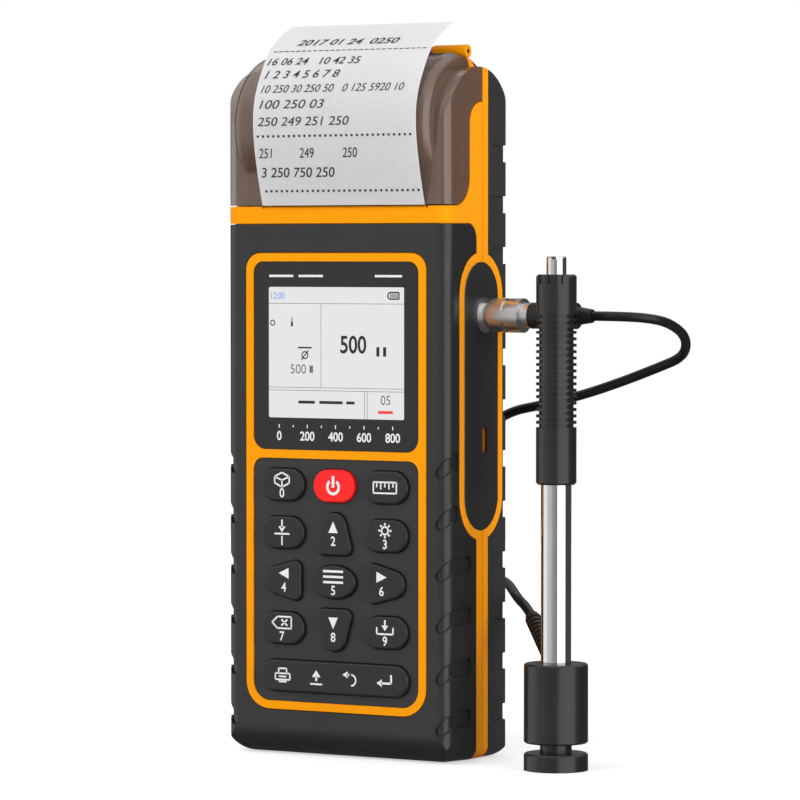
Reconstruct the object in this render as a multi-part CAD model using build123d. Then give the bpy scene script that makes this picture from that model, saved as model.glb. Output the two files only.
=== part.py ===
from build123d import *
import os
from math import atan2, cos, degrees, pi, radians, sin, tan

# Handheld printing hardness tester with an impact device on a lead.
# Millimetres. X is to the user's right, Y goes away from the user, Z is up.
# The origin is the middle of the underside, on the seam between the two half shells.

# Small values shared by many pieces
overrun = 1.0
root = 0.2
seat_gap = 0.1
running_fit = 0.05

# Case
case_width = 80.0
front_depth = 21.0
rear_depth = 17.5
shoulder_height = 212.5
case_corner = 4.0
foot_corner = 4.0
face_corner = 9.5
foot_round = 9.0
skin = 1.5
shell_wall = 2.0
join_line = 0.3
strip_front = 3.6
strip_rear = 3.4
seam_bevel = 0.35

# Printer bay at the top of the case
bay_y = -3.5
bay_below_shoulder = 18.0
bay_radius = 22.5
bay_side = 4.8
bay_edge = 4.0
skin_below_shoulder = 47.8
skin_top_corner = 5.0
band_height = 4.6
band_lip = 1.4
lip_drop = 1.6
tooth_pitch = 1.0
tooth_height = 0.7
tooth_base = 0.5
band_end = 2.5
paper_slot_margin = 0.6

# Printer door
door_wall = 1.8
door_above_band = 1.0
door_side_y = -8.2
door_low_corner = 8.3
door_high_corner = 7.0
door_notch_below_shoulder = 10.5
door_gap = 0.4

# Door hinge
hinge_above_shoulder = 4.9
knuckle_radius = 2.0
knuckle_clear = 0.35
knuckle_gap = 1.5
rear_knuckle_length = 11.7
rear_knuckle_inset = 0.3
hinge_pin_radius = 0.75
knuckle_end_gap = 0.3

# Front frame and its two panels
frame_side = 7.8
frame_low = 14.3
frame_below_skin = 9.2
frame_bar = 2.6
keypad_share = 0.551
frame_divider = 2.8
frame_foot_radius = 8.3
frame_top_radius = 5.0
frame_proud = 0.3
panel_thickness = 1.4
panel_clear = 0.1
panel_ledge = 1.5
panel_corner = 3.4
screen_side = 5.2
screen_above_divider = 12.5
screen_below_frame = 10.3
screen_step = 0.25
screen_corner = 0.6
lcd_margin = 3.1
lcd_above_divider = 6.4
lcd_below_frame = 5.5

# Keys
key_proud = 1.5
key_clear = 0.3
key_edge = 0.7
key_flange = 0.8
key_flange_thickness = 0.8
key_travel = 1.2
key_side_gap = 3.35
key_column_gap = 3.0
key_rows = 4
top_row_margin = 0.7
bar_key_rise = 10.5
oval_row_gap = 4.8
power_shorter = 0.8
arrow_width_gap = 2.4
arrow_row_gap = 1.6
arrow_nose_radius = 4.3
arrow_base_radius = 2.3
menu_row_gap = 4.4
bar_key_extra = 0.5
bar_key_height = 9.8

# Boards and battery
board_thickness = 1.6
board_standoff = 1.6
board_side_gap = 7.9
board_below_frame = 3.8
board_above_frame = 2.5
board_post_radius = 2.0
board_post_inset = 3.0
board_corner = 2.0
chip_half = 8.0
chip_z = 70.0
chip_height = 1.6
memory_half = 4.5
memory_x = 16.0
memory_height = 1.2
mat_thickness = 1.0
mat_inset = 1.5
mat_corner = 3.0
mat_above_frame = 3.2
mat_below_divider = 0.7
power_board_y = 3.0
power_board_above_battery = 5.5
power_board_below_frame = 3.5
power_post_inset = 4.0
power_board_side_gap = 0.6
port_tongue_margin = 2.0
nut_room = 2.0
nut_room_length = 16.0
inductor_x = -12.0
inductor_z = 110.0
inductor_radius = 5.0
inductor_height = 5.0
battery_wrap_gap = 0.2
battery_side_gap = 3.2
battery_low = 18.0
battery_high = 83.0
buzzer_radius = 6.0
buzzer_height = 4.5
buzzer_z = 122.0

# Screws that hold the two shells together
screw_inset = 6.6
screw_low = 21.35
screw_above_battery = 1.0
screw_below_frame = 8.5
screw_radius = 1.4
screw_head_radius = 2.6
screw_head_height = 2.0
screw_depth = 10.0
screw_boss_radius = 3.2
screw_clear = 0.15
screw_head_clear = 0.2
screw_skin_clear = 0.5
screw_seat = 1.0
screw_cross_length = 2.8
screw_cross_width = 0.7
screw_cross_floor = 0.8

# Side inserts with their orange rings
insert_y = -0.8
insert_low = 70.6
insert_below_frame = 2.7
insert_width = 20.6
insert_thickness = 2.0
insert_proud = 0.2
insert_clear = 0.1
ring_width = 26.5

# Probe socket and service port on the right side
plug_below_insert_top = 16.3
socket_flange_radius = 5.4
socket_flange = 1.0
socket_radius = 4.5
socket_length = 10.0
socket_nut_across = 12.0
socket_nut_height = 2.0
port_y = 1.25
port_above_insert_low = 27.6
port_width = 3.1
port_height = 8.4
port_rim = 0.3
port_depth = 6.2
port_floor = 1.0
port_tongue = 0.7
port_tongue_short = 1.0
plug_end_gap = 0.5

# Grip grooves in the soft skin
groove_first_z = 13.5
groove_pitch = 15.7
groove_height = 5.2
groove_depth = 0.8
groove_round = 1.6
groove_overlap = 0.6
groove_face_inset = 5.5
groove_face_drop = 3.2
groove_side_y = -7.0
groove_ring_y = -14.9
groove_rear_y = 5.0
groove_back_inset = 3.2
front_grooves_full = 4
front_grooves_short = 2
rear_grooves_end = 25.0

# Shallow bare field on the back
back_field_width = 50.0
back_field_height = 44.0
back_field_corner = 3.0
back_field_depth = 0.4

# Paper and printer works
paper_room = 22.0
paper_offset = 3.2
paper_thickness = 0.2
roll_radius = 17.0
core_radius = 5.0
spindle_radius = 2.5
platen_y = -14.5
platen_above_band = 4.3
platen_radius = 4.0
platen_shaft_radius = 1.5
paper_side_gap = 0.8
arm_thickness = 1.6
arm_reach = 2.4
arm_rise = 2.8
left_cheek = 1.0
right_cheek = 1.5
right_cheek_gap = 1.2
works_clear = 1.2
works_below_shoulder = 58.0
works_above_bay = 6.0
works_front_gap = 0.2
works_foot = 3.8
works_shelf = 2.2
works_shelf_depth = 6.0
works_plate = 1.5
works_plate_height = 16.0
works_back_high_drop = 5.5
works_back_low_drop = 19.5
throat_gap = 0.4
throat_rise = 2.0
fork_half = 5.0
fork_rise = 5.0
trough_gap = 0.6
trough_wall = 1.2
trough_from = -105.0
trough_span = 82.0
head_gap = 0.3
head_height = 3.0
head_depth = 8.2
head_chamfer = 0.4
shaft_end = 0.5
gear_module = 0.5
tooth_above = 0.8
tooth_below = 1.2
tooth_root_share = 0.25
tooth_tip_share = 0.11
gear_width = 3.0
gear_backlash = 0.1
gear_line_angle = -36.87
platen_teeth = 16
idler_teeth = 24
pinion_teeth = 10
idler_axle_radius = 1.5
motor_radius = 7.5
motor_length = 12.0
motor_shaft_radius = 1.0
motor_shaft_reach = 4.0
motor_round = 1.0

# Paper that hangs out of the printer: points of its section, front to back, with Z from the shoulder
paper_section = (
    (-21.9, -42.3), (-23.4, -37.5), (-25.3, -30.5), (-27.3, -18.5), (-26.9, -11.5),
    (-24.9, -5.6), (-21.7, 0.1), (-17.7, 5.6), (-11.4, 10.3), (-4.4, 13.7),
)

# Plug of the probe lead
plug_nose_radius = 3.2
plug_nose_length = 6.5
plug_radius = 3.85
plug_length = 16.2
latch_from = 3.0
latch_length = 10.4
latch_radius = 5.25
latch_waist = 4.7
latch_ring = 4.6
latch_travel = 1.5
boot_radius = 4.0
boot_length = 15.4
boot_neck_radius = 2.9
boot_tip_radius = 2.05
boot_taper = 5.4

# Impact device, which stands on its own beside the case
probe_from_wall = 32.5
probe_y = -12.5
support_radius = 9.7
support_height = 5.2
neck_radius = 4.8
neck_height = 3.0
housing_height = 24.0
housing_wall = 1.5
housing_end = 2.0
tube_radius = 4.6
tube_bore = 2.8
tube_top = 104.0
probe_chamfer = 0.5
winding_gap = 0.4
winding_lift = 1.0
winding_height = 12.0
sleeve_radius = 6.1
sleeve_low = 86.0
sleeve_high = 149.1
sleeve_end = 2.5
sleeve_stroke = 30.0
sleeve_fit = 0.1
sleeve_chamfer = 0.6
rib_first_z = 103.2
rib_pitch = 1.93
rib_groove = 1.1
rib_depth = 0.9
rib_count = 18
notch_height = 2.8
notch_depth = 0.9
notch_span = 46.0
notch_angles = (-65.0, -124.0, 115.0, 56.0)
button_radius = 3.0
button_top = 154.5
button_travel = 2.5
button_chamfer = 0.4
button_slot = 1.6
button_slot_depth = 0.9
button_slot_angle = -74.0
button_flange_radius = 4.2
button_flange = 1.5
button_gap = 0.3
chuck_disc = 2.0
chuck_rod_radius = 1.1
chuck_radius = 2.4
chuck_low = 98.0
chuck_height = 5.0
chuck_roof = 2.0
catch_clear = 0.2
spring_wire = 0.7
spring_end_gap = 0.05
loading_spring_radius = 3.7
loading_turns = 6
impact_spring_gap = 0.6
impact_turns = 14
impactor_radius = 2.7
impactor_low = 4.0
impactor_high = 24.0
impactor_chamfer = 0.5
impactor_tip = 1.5
impactor_tip_lift = 0.05
impactor_nose = 1.2
impactor_neck = 0.8
impactor_head = 1.4
impactor_head_height = 1.2
impactor_catch = 4.0

# Lead between the plug and the impact device
lead_diameter = 3.0
lead_arc_share = 0.45
lead_boot_foot = (27.4, -7.6)
lead_boot_knee = 2.2
lead_boot_top = (15.2, 4.0, 44.4)
lead_boot_radius = 2.1
lead_boot_rib = 2.5
lead_boot_ribs = 9
lead_boot_rib_share = 0.55
coil_from_wall = -62.0
coil_y = 43.0
coil_middle_radius = 17.5
coil_columns = 3
coil_layers = 3

# Route of the lead from the plug's boot to the coil, and from the impact device's boot to the coil,
# with X from the right wall of the case
upper_route = (
    (38.2, 0.0, 136.5), (45.8, 0.0, 136.5), (54.2, 5.2, 135.2), (58.0, 13.6, 131.6),
    (57.2, 22.8, 127.8), (51.6, 30.2, 124.0), (43.0, 33.6, 120.6), (31.0, 34.6, 116.6),
    (17.0, 34.4, 112.4), (3.0, 34.2, 109.2), (-11.0, 35.2, 104.6), (-22.5, 38.0, 97.0),
    (-30.5, 42.0, 86.0), (-35.5, 46.5, 73.0), (-38.5, 51.5, 59.0), (-40.5, 56.5, 45.0),
    (-42.0, 60.5, 31.5), (-44.0, 63.3, 19.5), (-48.2, 64.8, 9.4), (-54.6, 64.2, 3.4),
    (-62.0, 63.5, 1.5),
)
lower_route = (
    (15.2, 4.0, 44.4), (10.8, 8.2, 48.0), (6.4, 15.6, 49.3), (1.6, 24.0, 49.5),
    (-6.0, 31.2, 49.2), (-16.5, 36.0, 45.5), (-25.5, 36.4, 37.0), (-32.0, 33.8, 26.5),
    (-39.5, 30.0, 17.0), (-49.5, 26.6, 10.5), (-62.0, 25.5, 7.5),
)

depth = front_depth + rear_depth
middle_y = (rear_depth - front_depth) / 2
half_width = case_width / 2
far = 400.0

# Printer bay, door and works follow the shoulder; the paper follows the case's width
bay_z = shoulder_height - bay_below_shoulder
bay_half_width = half_width - bay_side
skin_top = shoulder_height - skin_below_shoulder
band_top = skin_top + band_height
door_bottom = band_top + door_above_band
door_notch_z = shoulder_height - door_notch_below_shoulder
hinge_z = shoulder_height + hinge_above_shoulder
rear_knuckle_to = bay_half_width - rear_knuckle_inset
rear_knuckle_from = rear_knuckle_to - rear_knuckle_length
door_knuckle_half = rear_knuckle_from - knuckle_gap
paper_width = case_width - paper_room
platen_z = band_top + platen_above_band
works_low = shoulder_height - works_below_shoulder
works_top = bay_z + works_above_bay
works_back_high = bay_z - works_back_high_drop
works_back_low = bay_z - works_back_low_drop

# Frame, screen and keys follow the case's width and the top of the front skin
frame_half_width = half_width - frame_side
frame_high = skin_top - frame_below_skin
frame_divider_z = frame_low + keypad_share * (frame_high - frame_low)
panel_half_width = frame_half_width - frame_bar
screen_half_width = panel_half_width - screen_side
screen_low = frame_divider_z + screen_above_divider
screen_high = frame_high - screen_below_frame
lcd_low = frame_divider_z + lcd_above_divider
lcd_high = frame_high - lcd_below_frame
bar_key_z = frame_low + bar_key_rise
row_pitch = (frame_divider_z - bar_key_z - top_row_margin) / (key_rows + 0.5)
top_row_z = bar_key_z + key_rows * row_pitch
oval_length = 2 * (panel_half_width - key_side_gap - key_column_gap) / 3
column_pitch = oval_length + key_column_gap
oval_height = row_pitch - oval_row_gap
power_length = oval_length - power_shorter
arrow_width = row_pitch - arrow_width_gap
arrow_height = row_pitch - arrow_row_gap
menu_height = row_pitch - menu_row_gap
bar_key_length = 2 * column_pitch + oval_length + bar_key_extra
front_y = -front_depth
panel_back_y = front_y + skin
panel_front_y = panel_back_y - panel_thickness
inner_front_y = panel_back_y + shell_wall
board_front_y = inner_front_y + board_standoff
board_y = board_front_y + board_thickness
inner_rear_y = rear_depth - skin - shell_wall
inner_side_x = half_width - skin - shell_wall

# Screws, boards, battery and side inserts follow the case and its frame
screw_x = half_width - screw_inset
screw_zs = (screw_low, battery_high + screw_above_battery, frame_high - screw_below_frame)
board_half_width = inner_side_x - board_side_gap
board_low = frame_low - board_below_frame
board_high = frame_high + board_above_frame
mat_low = frame_low + mat_above_frame
mat_high = frame_divider_z - mat_below_divider
battery_half_width = screw_x - screw_boss_radius - battery_side_gap
battery_cell = 2 * battery_half_width / 3 - battery_wrap_gap
power_board_low = battery_high + power_board_above_battery
power_board_high = frame_high - power_board_below_frame
insert_high = frame_high - insert_below_frame
insert_height = insert_high - insert_low
insert_z = (insert_low + insert_high) / 2
plug_z = insert_high - plug_below_insert_top
port_z = insert_low + port_above_insert_low
groove_face_x = half_width - groove_face_inset
groove_back_x = half_width - groove_back_inset
rear_grooves = 1 + int((shoulder_height - rear_grooves_end - groove_first_z) / groove_pitch)
probe_x = half_width + probe_from_wall
coil_x = half_width + coil_from_wall


def save(shape, name):
    """Write one piece, with the solids of a group kept separate."""
    export_step(shape, f"parts/{name}.step")


def side_prism(face, x0, x1):
    """Solid whose section is drawn in (Y, Z) and runs from x0 to x1."""
    return extrude(Plane.YZ.offset(x0) * face, x1 - x0)


def front_prism(face, y0, y1):
    """Solid whose section is drawn in (X, Z) and runs from y0 back to y1."""
    return extrude(Plane.XZ.offset(-y1) * face, y1 - y0)


def block(x0, x1, y0, y1, z0, z1):
    """Box between two corners."""
    return Pos((x0 + x1) / 2, (y0 + y1) / 2, (z0 + z1) / 2) * Box(x1 - x0, y1 - y0, z1 - z0)


def rod_x(y, z, radius, x0, x1):
    """Round rod along X."""
    return side_prism(Pos(y, z) * Circle(radius), x0, x1)


def rod_y(x, z, radius, y0, y1):
    """Round rod along Y."""
    return front_prism(Pos(x, z) * Circle(radius), y0, y1)


def rod_z(radius, z0, z1, x=probe_x, y=probe_y):
    """Round rod along Z, on the impact device's axis unless told otherwise."""
    return Pos(x, y, z0) * Cylinder(radius, z1 - z0, align=(Align.CENTER, Align.CENTER, Align.MIN))


def rounded_panel(half, z0, z1, low_radius, high_radius):
    """Upright rectangle in (X, Z) with its own radii below and above."""
    face = Pos(0, (z0 + z1) / 2) * Rectangle(2 * half, z1 - z0)
    face = fillet(face.vertices().group_by(Axis.Y)[0], low_radius)
    return fillet(face.vertices().group_by(Axis.Y)[-1], high_radius)


def upright_slot(y, z, width, height):
    """Slot with round ends, long side upright, drawn in the plane of a side."""
    return Pos(y, z) * Rot(0, 0, 90) * SlotOverall(height, width)


def side_outline(inset):
    """Side view of the case: round foot corners and a fully round top."""
    y0 = -front_depth + inset
    y1 = rear_depth - inset
    foot = foot_round - inset
    top_radius = depth / 2 - inset
    top_centre = shoulder_height - depth / 2
    column = Pos(middle_y, (inset + top_centre) / 2) * Rectangle(y1 - y0, top_centre - inset)
    column = fillet(column.vertices().group_by(Axis.Y)[0], foot)
    return column + Pos(middle_y, top_centre) * Circle(top_radius)


def front_outline(inset, corner):
    """Front view of the case, tall enough to pass the round top."""
    top = shoulder_height + case_width
    side = half_width - inset
    radius = corner - inset
    low = inset + radius
    return make_face([
        Line((-side, top), (-side, low)),
        CenterArc((-side + radius, low), radius, 180, 90),
        Line((-side + radius, inset), (side - radius, inset)),
        CenterArc((side - radius, low), radius, 270, 90),
        Line((side, low), (side, top)),
        Line((side, top), (-side, top)),
    ])


def case_block(inset):
    """Outer form of the case, moved inwards by the inset, printer bay included."""
    side = side_prism(side_outline(inset), -half_width, half_width)
    plan = RectangleRounded(case_width - 2 * inset, depth - 2 * inset, case_corner - inset)
    plan = extrude(Pos(0, middle_y) * plan, shoulder_height)
    face_end = Plane.XZ.offset(front_depth) * front_outline(inset, face_corner)
    strip_end = Plane.XZ.offset(strip_front) * front_outline(inset, foot_corner)
    front_part = loft([face_end, strip_end], ruled=True)
    rear_part = front_prism(front_outline(inset, foot_corner), -strip_front, rear_depth)
    bay = rod_x(bay_y, bay_z, bay_radius - inset, -bay_half_width + inset, bay_half_width - inset)
    bay = fillet(bay.edges().filter_by(GeomType.CIRCLE), bay_edge - inset)
    bay &= block(-half_width, half_width, -far, rear_depth - inset, bay_z - bay_radius, far)
    return (side & plan & (front_part + rear_part)) + bay


full_case = case_block(0)
under_skin = case_block(skin)
cavity = case_block(skin + shell_wall)
front_half = block(-far, far, -far, 0, -far, far)
rear_half = block(-far, far, 0, far, -far, far)


def ring_outline(grow):
    """Outline of the orange ring round a side insert."""
    extra = ring_width - insert_width
    return upright_slot(insert_y, insert_z, ring_width + 2 * grow, insert_height + extra + 2 * grow)


def insert_outline(grow):
    """Outline of a side insert."""
    return upright_slot(insert_y, insert_z, insert_width + 2 * grow, insert_height + 2 * grow)


def frame_outline(grow):
    """Outline of the orange frame round the screen and the keys."""
    return rounded_panel(
        frame_half_width + grow, frame_low - grow, frame_high + grow,
        frame_foot_radius + grow, frame_top_radius + grow,
    )


def display_outline(grow):
    """Outline of the screen panel inside the frame."""
    return rounded_panel(
        panel_half_width + grow, frame_divider_z + frame_divider - grow,
        frame_high - frame_bar + grow, frame_foot_radius / 2 + grow, panel_corner + grow,
    )


def keypad_outline(grow):
    """Outline of the key panel inside the frame."""
    return rounded_panel(
        panel_half_width + grow, frame_low + frame_bar - grow, frame_divider_z + grow,
        frame_foot_radius - frame_bar + grow, panel_corner + grow,
    )


def both_sides(outline, depth_in):
    """Prism through the outer part of both side walls."""
    right = side_prism(outline, half_width - depth_in, half_width + overrun)
    return right + mirror(right, Plane.YZ)


def front_skin_zone(gap):
    """Side view of the area that the front skin covers."""
    edge_y = -strip_front - gap
    high = skin_top - gap
    zone = Rectangle(edge_y - 2 * front_y, high + overrun)
    zone = Pos((2 * front_y + edge_y) / 2, (high - overrun) / 2) * zone
    corner = zone.vertices().group_by(Axis.Y)[-1].sort_by(Axis.X)[-1]
    return fillet(corner, skin_top_corner)


def front_skin(gap):
    """Soft skin over the front shell, set back by the gap from all orange areas."""
    piece = (full_case & side_prism(front_skin_zone(gap), -half_width, half_width)) - under_skin
    piece -= front_prism(frame_outline(gap), front_y - overrun, 0)
    return piece - both_sides(ring_outline(gap), skin + overrun)


def rear_skin(gap):
    """Soft skin over the rear shell."""
    zone = block(-far, far, strip_rear + gap, far, -far, far)
    return (full_case & zone) - under_skin - both_sides(ring_outline(gap), skin + overrun)


def screw_holes(radius, y0, y1):
    """Round cutters at the six case screws."""
    return [rod_y(side * screw_x, z, radius, y0, y1) for side in (-1, 1) for z in screw_zs]


def door_zone(gap, back_y):
    """Side view of the space of the printer door, grown by the gap, as far back as given."""
    side_y = door_side_y + gap
    low_z = door_bottom - gap
    notch_z = door_notch_z - gap
    low_r = door_low_corner + gap
    high_r = door_high_corner - gap
    top = hinge_z + far
    lines = [
        Line((-far, low_z), (side_y - low_r, low_z)),
        CenterArc((side_y - low_r, low_z + low_r), low_r, -90, 90),
        Line((side_y, low_z + low_r), (side_y, notch_z - high_r)),
        CenterArc((side_y + high_r, notch_z - high_r), high_r, 90, 90),
        Line((side_y + high_r, notch_z), (back_y, notch_z)),
        Line((back_y, notch_z), (back_y, top)),
        Line((back_y, top), (-far, top)),
        Line((-far, top), (-far, low_z)),
    ]
    return make_face(lines)


def tear_teeth():
    """Row of teeth on the band, as wide as the paper."""
    x0 = paper_offset - paper_width / 2
    count = int(paper_width / tooth_pitch)
    points = [(x0, band_top - tooth_base)]
    for i in range(count):
        left = x0 + i * tooth_pitch
        points += [(left, band_top), (left + tooth_pitch / 2, band_top + tooth_height)]
    points += [(x0 + count * tooth_pitch, band_top), (x0 + count * tooth_pitch, band_top - tooth_base)]
    comb = make_face(Polyline(*points, close=True))
    return front_prism(comb, front_y, front_y + band_lip)


def seam_cut():
    """Fine groove where the two shells meet, above the feet: a thin slab outside an inset body."""
    slab = block(-far, far, -seam_bevel / 2, seam_bevel / 2, foot_corner, far)
    return slab - case_block(seam_bevel)


def side_openings():
    """Cutters for the probe socket and the service port, through the right wall."""
    x0 = half_width - skin - shell_wall - overrun
    x1 = half_width + insert_proud + overrun
    port = side_prism(upright_slot(port_y, port_z, port_width, port_height), x0, x1)
    return port + rod_x(0, plug_z, socket_radius + insert_clear, x0, x1)


def front_shell():
    """Orange front half with the frame, the band, ledges, bosses and openings."""
    shell = (full_case & front_half) - front_skin(0)
    shell += front_prism(frame_outline(0), front_y - frame_proud, panel_back_y)
    shell -= cavity
    for side in (-1, 1):
        for z in screw_zs:
            shell += rod_y(side * screw_x, z, screw_boss_radius, inner_front_y - root, 0)
    for hole in screw_holes(screw_radius, -screw_depth - overrun, overrun):
        shell -= hole
    for x in (-1, 1):
        for z in (board_low + board_post_inset, board_high - board_post_inset):
            shell += rod_y(x * (board_half_width - board_post_inset), z, board_post_radius,
                           inner_front_y - root, board_front_y)
    for outline in (display_outline, keypad_outline):
        shell -= front_prism(outline(panel_clear), front_y - overrun, panel_back_y)
        shell -= front_prism(outline(-panel_ledge), front_y - overrun, inner_front_y)
    shell -= side_prism(door_zone(door_gap, overrun), -far / 2, far / 2)
    slot_half = paper_width / 2 + paper_slot_margin
    shell -= block(paper_offset - slot_half, paper_offset + slot_half, -far,
                   door_side_y - door_low_corner, band_top, door_bottom)
    lip_half = half_width - band_end
    shell -= block(-lip_half, lip_half, front_y + band_lip, inner_front_y + overrun,
                   band_top - lip_drop, door_bottom)
    shell += tear_teeth()
    shell -= both_sides(insert_outline(insert_clear), insert_thickness)
    return shell - side_openings() - seam_cut()


def rear_shell():
    """Orange rear half with hinge knuckles, screw bosses and board posts."""
    shell = (full_case & rear_half) - rear_skin(0) - cavity
    shell -= rod_x(bay_y, bay_z, bay_radius - skin - shell_wall,
                   paper_offset - bay_half_width + shell_wall, bay_half_width - shell_wall)
    for side in (-1, 1):
        x0, x1 = sorted((side * rear_knuckle_from, side * rear_knuckle_to))
        shell += rod_x(0, hinge_z, knuckle_radius, x0, x1)
    shell -= rod_x(0, hinge_z, knuckle_radius + knuckle_clear, -rear_knuckle_from, rear_knuckle_from)
    shell -= rod_x(0, hinge_z, hinge_pin_radius, -rear_knuckle_to - overrun, rear_knuckle_to + overrun)
    for side in (-1, 1):
        for z in screw_zs:
            shell += rod_y(side * screw_x, z, screw_boss_radius, 0, inner_rear_y + root)
    for hole in screw_holes(screw_radius + screw_clear, -overrun, far):
        shell -= hole
    for hole in screw_holes(screw_head_radius + screw_head_clear, inner_rear_y - screw_seat, far):
        shell -= hole
    for x in (-1, 1):
        for z in (power_board_low + power_post_inset, power_board_high - power_post_inset):
            shell += rod_y(x * (board_half_width - power_post_inset), z, board_post_radius,
                           power_board_y + board_thickness, inner_rear_y + root)
    shell -= both_sides(insert_outline(insert_clear), insert_thickness)
    return shell - side_openings() - seam_cut()


def groove_z(index):
    """Height of the middle of a grip groove on the side."""
    return groove_first_z + index * groove_pitch


def front_groove(index, end_y):
    """One groove round a front corner: level on the side, dropping on the face."""
    z = groove_z(index)
    drop = Vector(groove_face_x - half_width + groove_height / 2, -groove_face_drop)
    slope = degrees(atan2(-drop.Y, -drop.X))
    slant = Pos(half_width + drop.X / 2, z + drop.Y / 2) * Rot(0, 0, slope) * SlotCenterToCenter(
        drop.length, groove_height * cos(radians(slope))
    )
    corner_y = front_y + case_corner / 2
    on_face = front_prism(slant, front_y - overrun, corner_y + groove_overlap)
    level = Pos((corner_y + end_y) / 2, z) * RectangleRounded(end_y - corner_y, groove_height, groove_round)
    return on_face + side_prism(level, half_width - case_corner, half_width + overrun)


def rear_groove(index):
    """One groove round a rear corner."""
    z = groove_z(index)
    level = RectangleRounded(far - groove_rear_y, groove_height, groove_round)
    level = Pos((groove_rear_y + far) / 2, z) * level
    return side_prism(level, groove_back_x, half_width + overrun)


def front_overmould():
    """Dark soft skin of the front, with its grip grooves."""
    piece = front_skin(join_line)
    core = case_block(groove_depth)
    ends = [groove_side_y] * front_grooves_full + [groove_ring_y] * front_grooves_short
    for index, end_y in enumerate(ends):
        cut = front_groove(index, end_y) - core
        piece = piece - cut - mirror(cut, Plane.YZ)
    return piece


def rear_overmould():
    """Dark soft skin of the back, with grooves, screw holes and a shallow bare field."""
    piece = rear_skin(join_line)
    core = case_block(groove_depth)
    for index in range(rear_grooves):
        cut = rear_groove(index) - core
        piece = piece - cut - mirror(cut, Plane.YZ)
    for hole in screw_holes(screw_head_radius + screw_skin_clear, 0, far):
        piece -= hole
    field = Pos(0, insert_z) * RectangleRounded(back_field_width, back_field_height, back_field_corner)
    return piece - front_prism(field, rear_depth - back_field_depth, rear_depth + overrun)


def side_insert(holes):
    """Dark lozenge set into the side wall; the right one has the two openings."""
    piece = side_prism(insert_outline(0), half_width - insert_thickness, half_width + insert_proud)
    piece = chamfer(piece.faces().sort_by(Axis.X)[-1].edges(), insert_proud)
    return piece - side_openings() if holes else mirror(piece, Plane.YZ)


def slot_key(length, height):
    """Outline of a key with round ends, as a function of how far it is grown."""
    return lambda grow: SlotOverall(length + 2 * grow, height + 2 * grow)


def menu_key(grow):
    """Outline of the oval key in the middle."""
    return Ellipse(oval_length / 2 + grow, menu_height / 2 + grow)


def arrow_key(turn):
    """Outline of an arrow key: broad base with round corners, wide round nose, turned from nose up."""
    side = arrow_width / 2 - arrow_base_radius
    low = arrow_base_radius - arrow_height / 2
    high = arrow_height / 2 - arrow_nose_radius

    def outline(grow):
        corner = arrow_base_radius + grow
        rounds = [CenterArc((x, low), corner, 0, 360) for x in (-side, side)]
        rounds.append(CenterArc((0, high), arrow_nose_radius + grow, 0, 360))
        return Rot(0, 0, turn) * make_hull(rounds)

    return outline


def key_faces():
    """Name, column, height and outline of each of the thirteen keys."""
    rows = [top_row_z - i * row_pitch for i in range(key_rows)]
    oval = slot_key(oval_length, oval_height)
    return (
        ("key_0", -1, rows[0], oval),
        ("key_power", 0, rows[0], slot_key(power_length, oval_height)),
        ("key_unit", 1, rows[0], oval),
        ("key_1", -1, rows[1], oval),
        ("key_2_up", 0, rows[1], arrow_key(0)),
        ("key_3_light", 1, rows[1], oval),
        ("key_4_left", -1, rows[2], arrow_key(90)),
        ("key_5_menu", 0, rows[2], menu_key),
        ("key_6_right", 1, rows[2], arrow_key(-90)),
        ("key_7", -1, rows[3], oval),
        ("key_8_down", 0, rows[3], arrow_key(180)),
        ("key_9", 1, rows[3], oval),
        ("key_bar", 0, bar_key_z, slot_key(bar_key_length, bar_key_height)),
    )


def key(column, z, outline):
    """Key cap with a rounded front edge and a flange that keeps it behind the panel."""
    place = Pos(column * column_pitch, z)
    front = panel_front_y - key_proud
    flange_front = panel_back_y + key_clear
    cap = front_prism(place * outline(0), front, flange_front)
    cap = fillet(cap.faces().sort_by(Axis.Y)[0].edges(), key_edge)
    flange = front_prism(place * outline(key_flange), flange_front, flange_front + key_flange_thickness)
    return cap + flange


def keypad_panel():
    """Dark panel with a hole for each key."""
    panel = front_prism(keypad_outline(0), panel_front_y, panel_back_y)
    for name, column, z, outline in key_faces():
        place = Pos(column * column_pitch, z)
        panel -= front_prism(place * outline(key_clear), panel_front_y - overrun, panel_back_y + overrun)
    return panel


def screen_face(grow):
    """Visible part of the screen."""
    return Pos(0, (screen_low + screen_high) / 2) * RectangleRounded(
        2 * (screen_half_width + grow), screen_high - screen_low + 2 * grow, screen_corner
    )


def display_window():
    """Black glossy panel with the screen's window in it."""
    panel = front_prism(display_outline(0), panel_front_y, panel_back_y)
    return panel - front_prism(screen_face(0), panel_front_y - overrun, panel_back_y + overrun)


def lcd_module():
    """Screen on its carrier, which fills the window and sits on the main board."""
    carrier = block(-screen_half_width - lcd_margin, screen_half_width + lcd_margin,
                    panel_back_y + seat_gap, board_front_y, lcd_low, lcd_high)
    glass = front_prism(screen_face(-panel_clear), panel_front_y + screen_step, panel_back_y + seat_gap)
    return carrier + glass


def main_board():
    """Main circuit board behind the screen and the keys, with its soldered parts."""
    face = Pos(0, (board_low + board_high) / 2) * RectangleRounded(
        2 * board_half_width, board_high - board_low, board_corner
    )
    board = front_prism(face, board_front_y, board_y)
    chip = block(-chip_half, chip_half, board_y, board_y + chip_height,
                 chip_z - chip_half, chip_z + chip_half)
    memory = block(memory_x - memory_half, memory_x + memory_half, board_y, board_y + memory_height,
                   chip_z - memory_half, chip_z + memory_half)
    buzzer = rod_y(0, buzzer_z, buzzer_radius, board_y, board_y + buzzer_height)
    return board + chip + memory + buzzer


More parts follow.
